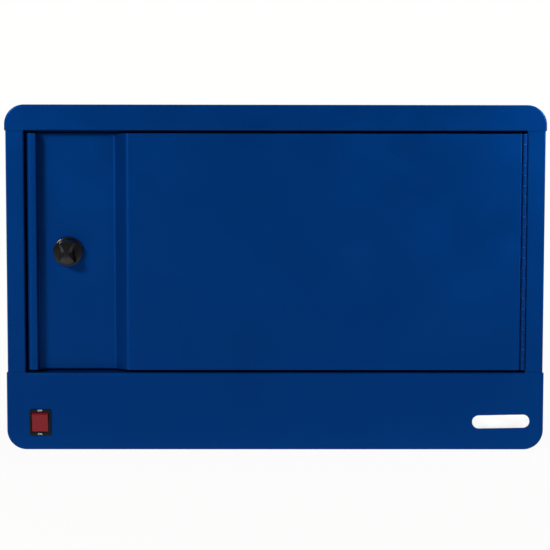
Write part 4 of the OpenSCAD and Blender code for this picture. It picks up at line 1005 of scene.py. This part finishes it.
    def build(self, shop: Shop) -> None:
        """Makes the cap, the pan and both side panels."""
        x, z, w, h = self.cutout
        hole = box_ring(w / 2, h / 2, 0.4, 2) + (x, z)
        shop.piece("cap_sheet", self.tray(self.cap_edge, 1), Body.CASE, "paint", ("top_cap",))
        pan = self.tray(self.pan_edge, -1, (hole,)).join(self.stud_surface())
        shop.piece("pan_sheet", pan, Body.CASE, "paint", ("base_pan",))
        shop.piece("left_panel_sheet", self.side_panel(-1), Body.CASE, "paint", ("left_side",))
        shop.piece("right_panel_sheet", self.side_panel(1), Body.CASE, "paint", ("right_side",))


# Door

@dataclass
class Door:
    """Door skin folded in plan."""

    left: float = -289.2
    right: float = 286.9
    low: float = 94.3
    top: float = 370.7
    face: float = -112.6
    edge_back: float = -94.6
    strip: float = 11.2
    pocket: float = 89.9
    depth: float = 15.0
    sheet: float = 1.2
    bend: float = 4.4
    strip_bend: float = 1.4
    floor_bend: float = 1.2
    slope_bend: float = 6.0
    right_bend: float = 2.2
    bend_steps: int = 7
    rim: float = 0.4
    latch: tuple[float, float] = (-243.1, 232.5)
    bore: float = 16.2
    window: float = 13.0

    def front_rows(self) -> list[Triple]:
        """Corners of the front line, from the left bent edge to the right one."""
        a = self.left + self.strip
        b = a + self.pocket
        c = b + self.depth
        floor = self.face + self.depth
        return [(self.left, self.edge_back, 0), (self.left, self.face, self.bend),
                (a, self.face, self.strip_bend), (a, floor, self.floor_bend),
                (b, floor, self.slope_bend - self.sheet), (c, self.face, self.slope_bend),
                (self.right, self.face, self.right_bend), (self.right, self.edge_back, 0)]

    def skin(self) -> Surface:
        """Skin between its front line and that line moved back by the sheet, carried up the door.

        The rims are rounded by moving both lines towards the middle of the sheet. A
        square round the latch is left out of the pocket floor and closed with four
        faces that run from its corners to the bore.

        Returns:
            The closed sheet.
        """
        x0, z0 = self.latch
        floor = self.face + self.depth
        line = rounded_line(self.front_rows(), self.bend_steps)
        cut = int(np.argmax((line[:, 0] > x0) & (np.abs(line[:, 1] - floor) < NEAR)))
        marks = np.array([(x0 - self.window, floor), (x0 + self.window, floor)])
        line = np.vstack([line[:cut], marks, line[cut:]])
        back = offset_line(line, self.sheet, False)
        inset, rise = quarter(self.rim, 2)
        levels = np.r_[self.low + self.rim - rise[::-1], z0 - self.window, z0 + self.window,
                       self.top - self.rim + rise]
        insets = np.r_[inset[::-1], 0, 0, inset]
        made, ends, rims = Surface(), [], []
        for side, way in ((line, 1.0), (back, -1.0)):
            stack = np.stack([lift(offset_line(side, way * d, False), Axis.Z, z)
                              for d, z in zip(insets, levels)])
            keep = np.ones((len(levels) - 1, len(line) - 1), bool)
            keep[len(rise), cut] = False
            made.grid(stack, keep=keep)
            ends += [stack[0], stack[-1]]
            rims += [stack[:, 0], stack[:, -1]]
            self.bore_face(made, floor if way > 0 else floor + self.sheet)
        for k in range(2):
            made.grid(np.stack([ends[k], ends[k + 2]]))
            made.grid(np.stack([rims[k], rims[k + 2]]))
        ring = circle(self.bore / 2) + self.latch
        made.rings([ring, ring], Axis.Y, (floor, floor + self.sheet), False, False)
        return made

    def bore_face(self, made: Surface, y: float) -> None:
        """Four faces between the corners of the window and quarters of the bore."""
        ring = np.roll(circle(self.bore / 2), -(ROUND // 8), 0)
        ring = np.vstack([ring, ring[:1]]) + self.latch
        w, count = self.window, ROUND // 4
        corners = np.array([(w, w), (-w, w), (-w, -w), (w, -w), (w, w)]) + self.latch
        for k in range(4):
            arc = ring[count * k:count * (k + 1) + 1]
            part = np.vstack([corners[k:k + 2], arc[::-1]])
            made.face(lift(part, Axis.Y, y))

    def build(self, shop: Shop) -> None:
        """Makes the skin."""
        shop.piece("door_skin", self.skin(), Body.DOOR, "paint", ("door_panel",))


# Knob

@dataclass
class Knob:
    """Round skirt under a grip bar that is waisted by two scoops."""

    x: float = -243.1
    z: float = 232.5
    seat: float = -98.1
    radius: float = 17.25
    skirt: float = 6.0
    height: float = 20.5
    grip: float = 15.25
    waist: float = 7.75
    scoop: float = 34.5
    recess: float = 12.75
    recess_end: float = 1.1
    bore: float = 4.1
    bore_end: float = 14.5
    pole: float = 0.2
    seat_edge: float = 0.3
    skirt_edge: float = 1.2
    foot: float = 1.1
    crown: float = 1.6
    draft: float = 1.0
    sag: float = 0.25
    dome: float = 0.1
    dome_rows: tuple[Triple, ...] = (
        (0.8, -2.08, 0.02), (0.5, -1.3, 0.06), (0.1, -0.2, 0.08))
    blend: float = 0.7
    clear: float = 60.0
    count: int = 192

    def surface(self) -> Surface:
        """Closed knob as a function of the angle and of a row.

        Along the angle the grip's outline is the smooth minimum of its circle and of
        the distance to the scoops: with centre c and radius s, that distance is
        c cos(a) - sqrt(s^2 - c^2 sin(a)^2). A row gives a share of the outline, a
        plain radius and a height.

        Returns:
            The closed surface.
        """
        turn = np.linspace(0, 2 * np.pi, self.count, endpoint=False)
        c = self.waist + self.scoop
        side, across = np.abs(np.cos(turn)), np.abs(np.sin(turn))
        inside = self.scoop ** 2 - (c * across) ** 2
        reach = np.where(inside > 0, c * side - np.sqrt(np.maximum(inside, 0)), self.clear)
        near = np.exp(-reach / self.blend) + np.exp(-self.grip / self.blend)
        outline = -self.blend * np.log(near)
        rows = self.rows()
        radius = rows[:, 0, None] * outline + rows[:, 1, None]
        depth = np.broadcast_to(self.seat - rows[:, 2, None], radius.shape)
        points = np.stack([self.x + radius * np.cos(turn), depth,
                           self.z + radius * np.sin(turn)], -1)
        made = Surface()
        made.grid(points, closed=True)
        made.face(points[0])
        made.face(points[-1])
        return made

    def rows(self) -> np.ndarray:
        """Rows from the bore over the back, the skirt and the grip to the slightly domed crown."""
        inset, rise = quarter(self.skirt_edge, 4)
        crown, up = quarter(self.crown, 5)
        foot, foot_up = quarter(self.foot, 4)
        top, skirt = self.height - self.dome, self.skirt - self.skirt_edge
        back = [(self.pole, self.bore_end), (self.bore, self.bore_end),
                (self.bore, self.recess_end), (self.recess, self.recess_end), (self.recess, 0),
                (self.radius - self.seat_edge, 0), (self.radius, self.seat_edge)]
        rows = [(0, *row) for row in back]
        rows += [(0, self.radius - d, skirt + h) for d, h in zip(inset, rise)]
        rows += [(1, self.foot - h, self.skirt + d) for d, h in zip(foot, foot_up)]
        rows += [(1, -self.draft - d, top - self.crown + h - self.sag * (d / self.crown))
                 for d, h in zip(crown, up)]
        rows += [(share, inward, top + bulge) for share, inward, bulge in self.dome_rows]
        return np.array(rows, float)

    def build(self, shop: Shop) -> None:
        """Makes the knob."""
        shop.piece("turn_knob", self.surface(), Body.LATCH, "knob_plastic", ("latch_knob",),
                   shop.SHARP_TURNED)


# Switch and label

@dataclass
class Switch:
    """Bezel and housing of the rocker switch with its two marks."""

    x: float = -276.0
    z: float = 32.5
    front: float = -113.0
    back: float = 24.0
    well: float = 14.5
    face: float = -2.0
    edge: float = 0.35
    words: tuple[tuple[str, float], ...] = (("OFF", 13.85), ("ON", -13.85))
    word_size: float = 2.698
    word_width: float = 1.15
    ink: float = 0.03

    def housing(self) -> Surface:
        """Housing of rounded rectangles joined from the back over the bezel into the well.

        A row gives half of the width and of the height, the corner's radius and the
        depth behind the pan's front.

        Returns:
            The closed surface.
        """
        rows = [(11.1, 14.0, 0.6, self.back), (11.1, 14.0, 0.6, 0.2), (12.45, 15.2, 1.5, 0.0),
                (12.75, 15.5, 1.5, -0.25), (12.75, 15.5, 1.5, -1.2), (12.6, 15.35, 1.4, -1.65),
                (12.25, 15.0, 1.2, -1.95), (11.9, 14.65, 1.1, self.face),
                (10.6, 12.7, 0.9, self.face), (10.35, 12.45, 0.8, -1.9), (10.2, 12.3, 0.8, -1.5),
                (9.9, 12.0, 0.6, -1.5), (9.7, 11.8, 0.5, -1.35), (9.7, 11.8, 0.5, self.well)]
        rings = [box_ring(w, h, r, 5) + (self.x, self.z) for w, h, r, _ in rows]
        made = Surface()
        made.rings(rings, Axis.Y, [self.front + row[3] for row in rows])
        return made

    def mark(self, word: str, z: float) -> bpy.types.Mesh:
        """Printed word on the bezel at a height from its middle, as a mesh in place."""
        curve = bpy.data.curves.new(word + "_draft", "FONT")
        curve.body = word
        curve.size = self.word_size * MM
        curve.extrude = self.ink * MM
        curve.align_x = curve.align_y = "CENTER"
        draft = bpy.data.objects.new(word + "_draft", curve)
        bpy.context.scene.collection.objects.link(draft)
        mesh = baked(draft)
        bpy.data.objects.remove(draft)
        mesh.transform(Matrix((
            (self.word_width, 0, 0, self.x * MM), (0, 0, -1, (self.front + self.face) * MM),
            (0, 1, 0, (self.z + z) * MM), (0, 0, 0, 1))))
        mesh.name = word + "_mark"
        return mesh

    def build(self, shop: Shop) -> None:
        """Makes the housing, softens the rocker and prints the marks."""
        shop.piece("switch_case", self.housing(), Body.CASE, "black_plastic",
                   ("switch_housing",))
        shop.softened("switch_rocker", Body.ROCKER, self.edge, 3)
        for word, z in self.words:
            shop.finish_piece(word.lower() + "_mark", self.mark(word, z), Body.CASE,
                              "label_plastic", ())


@dataclass
class Label:
    """Blank domed label on the pan."""

    x: float = 265.0
    z: float = 33.4
    front: float = -113.0
    length: float = 67.4
    height: float = 15.5
    thick: float = 1.246
    foot: float = 0.15
    fullness: float = 3.2
    flat: float = 0.01
    steps: int = 10
    shares: tuple[float, ...] = (
        0, 0.01, 0.03, 0.06, 0.1, 0.16, 0.25, 0.36, 0.5, 0.66, 0.82, 0.97)
    tilt: float = 1.0

    def surface(self) -> Surface:
        """Pill rings moved inwards by shares s and raised by thick * (1 - (1 - s)^fullness).

        The radius of the ends is half of the height less flat, so that no two points of
        a ring meet.

        Returns:
            The closed surface.
        """
        half = self.height / 2
        share = np.array(self.shares)
        rise = self.thick * (1 - (1 - share) ** self.fullness)
        rings = [box_ring(self.length / 2 - half * s, half * (1 - s),
                          half * (1 - s) - self.flat, self.steps) for s in share]
        a = np.radians(self.tilt)
        spin = np.array([[np.cos(a), np.sin(a)], [-np.sin(a), np.cos(a)]])
        placed = [ring @ spin + (self.x, self.z) for ring in rings]
        made = Surface()
        made.rings([placed[0]] + placed, Axis.Y,
                   np.r_[self.front, self.front - self.foot - rise])
        return made

    def build(self, shop: Shop) -> None:
        """Makes the label."""
        shop.piece("blank_label", self.surface(), Body.CASE, "label_plastic", ("label_plate",),
                   shop.SHARP_TURNED)


# Sub-assemblies whose CAD shape is right

@dataclass(frozen=True)
class SoftSet:
    """Nodes of one sub-assembly that keep their shape, with softer edges or rounder tubes."""

    title: str
    body: Body
    edges: tuple[tuple[str, float], ...] = ()
    tubes: tuple[str, ...] = ()

    def build(self, shop: Shop) -> None:
        """Makes each piece, where the number beside a node is its edge width in millimetres."""
        LOG.info("%s", self.title)
        for node, width in self.edges:
            shop.softened(node, self.body, width)
        for node in self.tubes:
            shop.rounded(node, self.body)


SOFT_SETS: tuple[SoftSet, ...] = (
    SoftSet("back wall", Body.CASE, (("back_panel", 0.2), ("wall_pads", 0.4))),
    SoftSet("frame side of the hinge", Body.CASE, (
        ("hinge_frame_leaf", 0.15), ("door_bumpers", 0.2))),
    SoftSet("door side of the hinge", Body.DOOR, (
        ("hinge_door_leaf", 0.15), ("door_end_plates", 0.2), ("door_stiffener", 0.3))),
    SoftSet("latch body", Body.DOOR, (
        ("latch_housing", 0.3), ("latch_washer", 0.12), ("latch_nut", 0.25))),
    SoftSet("latch cam", Body.LATCH, (("latch_cam", 0.2), ("latch_spindle", 0.2))),
    SoftSet("shelves", Body.CASE, tuple((node, 0.2) for node in (
        "bay_deck", "mid_shelf", "deck_bracket_left", "deck_bracket_right",
        "shelf_bracket_left", "shelf_bracket_right", "lower_dividers", "upper_dividers"))),
    SoftSet("port strips", Body.CASE, (
        ("lower_port_strip", 0.2), ("upper_port_strip", 0.2),
        ("lower_ports", 0.15), ("upper_ports", 0.15))),
    SoftSet("power bay", Body.CASE, (
        ("charger_tray", 0.2), ("tray_nuts", 0.2), ("left_charger", 0.5), ("right_charger", 0.5),
        ("terminal_block", 0.25), ("power_inlet", 0.3), ("inlet_pins", 0.15),
        ("spade_sleeves", 0.3), ("switch_terminals", 0.1), ("earth_nut", 0.2),
        ("loom_clips", 0.15))),
    SoftSet("wiring", Body.CASE, tubes=(
        "live_wires", "neutral_wires", "charger_leads", "usb_looms")),
)


# Stage

@dataclass(frozen=True)
class Lamp:
    """Soft rectangular lamp that looks at a point: metres, watts, and degrees of spread."""

    name: str
    place: Triple
    size: tuple[float, float]
    power: float
    aim: Triple = (0.0, 0.0, 0.2)
    spread: float = 180.0

    def build(self) -> None:
        """Makes the lamp."""
        data = bpy.data.lights.new(self.name, "AREA")
        data.shape = "RECTANGLE"
        data.spread = np.radians(self.spread)
        data.size, data.size_y = self.size
        data.energy = self.power
        made = bpy.data.objects.new(self.name, data)
        made.location = self.place
        made.rotation_mode = "QUATERNION"
        aim = Vector(self.place) - Vector(self.aim)
        made.rotation_quaternion = aim.to_track_quat("Z", "Y")
        bpy.context.scene.collection.objects.link(made)


LAMPS: tuple[Lamp, ...] = (
    Lamp("key", (-1.5, -2.0, 1.3), (0.6, 0.45), 53.0),
    Lamp("fill", (1.2, -1.0, 0.8), (0.3, 0.3), 1.6, (0.5, -0.11, 0.42), 40.0),
    Lamp("top", (0.0, 0.2, 2.2), (1.6, 0.8), 10.0),
    Lamp("back", (0.9, 2.1, 1.1), (1.2, 1.0), 22.0),
)


@dataclass
class Studio:
    """Camera, floor and background. Each range holds two places and the two values there."""

    eye: Triple = (-13.16, -2221.8, 385.2)
    yaw: float = -0.3397
    pitch: float = 4.854
    roll: float = 0.0786
    lens: float = 118.71
    sensor: float = 36.0
    far: float = 50.0
    white: Quad = (1, 1, 0.995, 1)
    ambient: float = 0.1
    room: Quad = (-0.25, 0.15, 0.04, 0.9)
    floor_radius: float = 3.0
    floor_level: float = -0.0002
    floor_tint: Quad = (0.0, 1.0, 0.86, 0.9)
    fade: Quad = (0.5, 1.6, 0.93, 1.0)
    # Distances from the middle where reflected rays see the floor glow white, and the glow's
    # strength there
    glow_strip: Quad = (0.16, 0.32, 1.0, 0.0)

    def camera(self) -> None:
        """Camera from its yaw, pitch and roll: columns are its right, up and backward axes."""
        yaw, pitch, roll = np.radians([self.yaw, self.pitch, self.roll])
        right = np.array([np.cos(yaw), np.sin(yaw), 0])
        ahead = np.array([-np.sin(yaw) * np.cos(pitch), np.cos(yaw) * np.cos(pitch),
                          -np.sin(pitch)])
        up = np.cross(right, ahead)
        side = np.cos(roll) * right + np.sin(roll) * up
        top = -np.sin(roll) * right + np.cos(roll) * up
        made = bpy.data.objects.new("camera", bpy.data.cameras.new("camera"))
        made.data.lens = self.lens
        made.data.sensor_width = self.sensor
        made.data.clip_end = self.far
        columns = np.stack([side, top, -ahead, np.array(self.eye) * MM], 1)
        made.matrix_world = Matrix([*columns.tolist(), [0, 0, 0, 1]])
        bpy.context.scene.collection.objects.link(made)
        bpy.context.scene.camera = made

    def world(self) -> None:
        """White background for the camera, darker behind it for shine, and a plain fill."""
        world = bpy.data.worlds.new("studio")
        bpy.context.scene.world = world
        world.use_nodes = True
        world.node_tree.nodes.clear()
        tree = Tree(world.node_tree)
        way = tree.node("SeparateXYZ", {0: tree.node("TexCoord").outputs["Generated"]})
        room = tree.ramp(way.outputs["Y"], *self.room)
        path = tree.node("LightPath")
        above = tree.math("SUBTRACT", room, self.ambient)
        lit = tree.math("ADD", tree.math("MULTIPLY", tree.shine(path), above), self.ambient)
        seen = tree.math("MAXIMUM", lit, path.outputs["Is Camera Ray"])
        back = tree.node("Background", {"Color": self.white, "Strength": seen})
        tree.node("OutputWorld", {"Surface": back.outputs[0]})

    def floor(self) -> None:
        """Pale round floor, near white to the camera but for the object's soft shadow, and glowing
        white to reflected rays near the object.
        """
        ring = circle(self.floor_radius, 2 * ROUND)
        mesh = bpy.data.meshes.new("floor")
        mesh.from_pydata(lift(ring, Axis.Z, self.floor_level).tolist(), [],
                         [list(range(len(ring)))])
        made = bpy.data.objects.new("floor", mesh)
        bpy.context.scene.collection.objects.link(made)
        material = bpy.data.materials.new("pale_floor")
        material.use_nodes = True
        material.node_tree.nodes.clear()
        tree = Tree(material.node_tree)
        place = tree.place()
        grain = tree.node("TexNoise", {"Vector": place, "Scale": 6.0, "Detail": 3.0})
        matt = tree.node("BsdfDiffuse", {
            "Color": tree.ramp(grain.outputs["Fac"], *self.floor_tint)})
        glow = tree.node("Emission", {"Color": self.white, "Strength": 1.0})
        path = tree.node("LightPath")
        away = tree.node("VectorMath", {0: place}, operation="LENGTH").outputs["Value"]
        seen = tree.math("MULTIPLY", path.outputs["Is Camera Ray"], tree.ramp(away, *self.fade))
        # Reflected rays see the floor near the box glow white: a glow from no lamp that brightens
        # the box's lower faces in reflection
        deep = tree.math("ABSOLUTE", tree.node("SeparateXYZ", {0: place}).outputs["Y"])
        near = tree.math("MULTIPLY", tree.shine(path), tree.ramp(deep, *self.glow_strip))
        share = tree.math("MAXIMUM", seen, near)
        both = tree.node("MixShader", {0: share, 1: matt.outputs[0], 2: glow.outputs[0]})
        tree.node("OutputMaterial", {"Surface": both.outputs[0]})
        mesh.materials.append(material)

    def build(self) -> None:
        """Sets the view and builds the stage."""
        bpy.context.scene.view_settings.view_transform = "Standard"
        self.camera()
        for lamp in LAMPS:
            lamp.build()
        self.world()
        self.floor()
        LOG.info("stage ready")


def main() -> None:
    """Builds the stage and every sub-assembly."""
    logging.basicConfig(level=logging.INFO, format="%(name)s %(message)s")
    Studio().build()
    paints = Paintbox()
    paints.dress_frame()
    shop = Shop(paints)
    for part in (FoldedCase(), Door(), Knob(), Switch(), Label(), *SOFT_SETS):
        part.build(shop)
    bpy.context.view_layer.update()


if __name__ == "__main__":
    main()
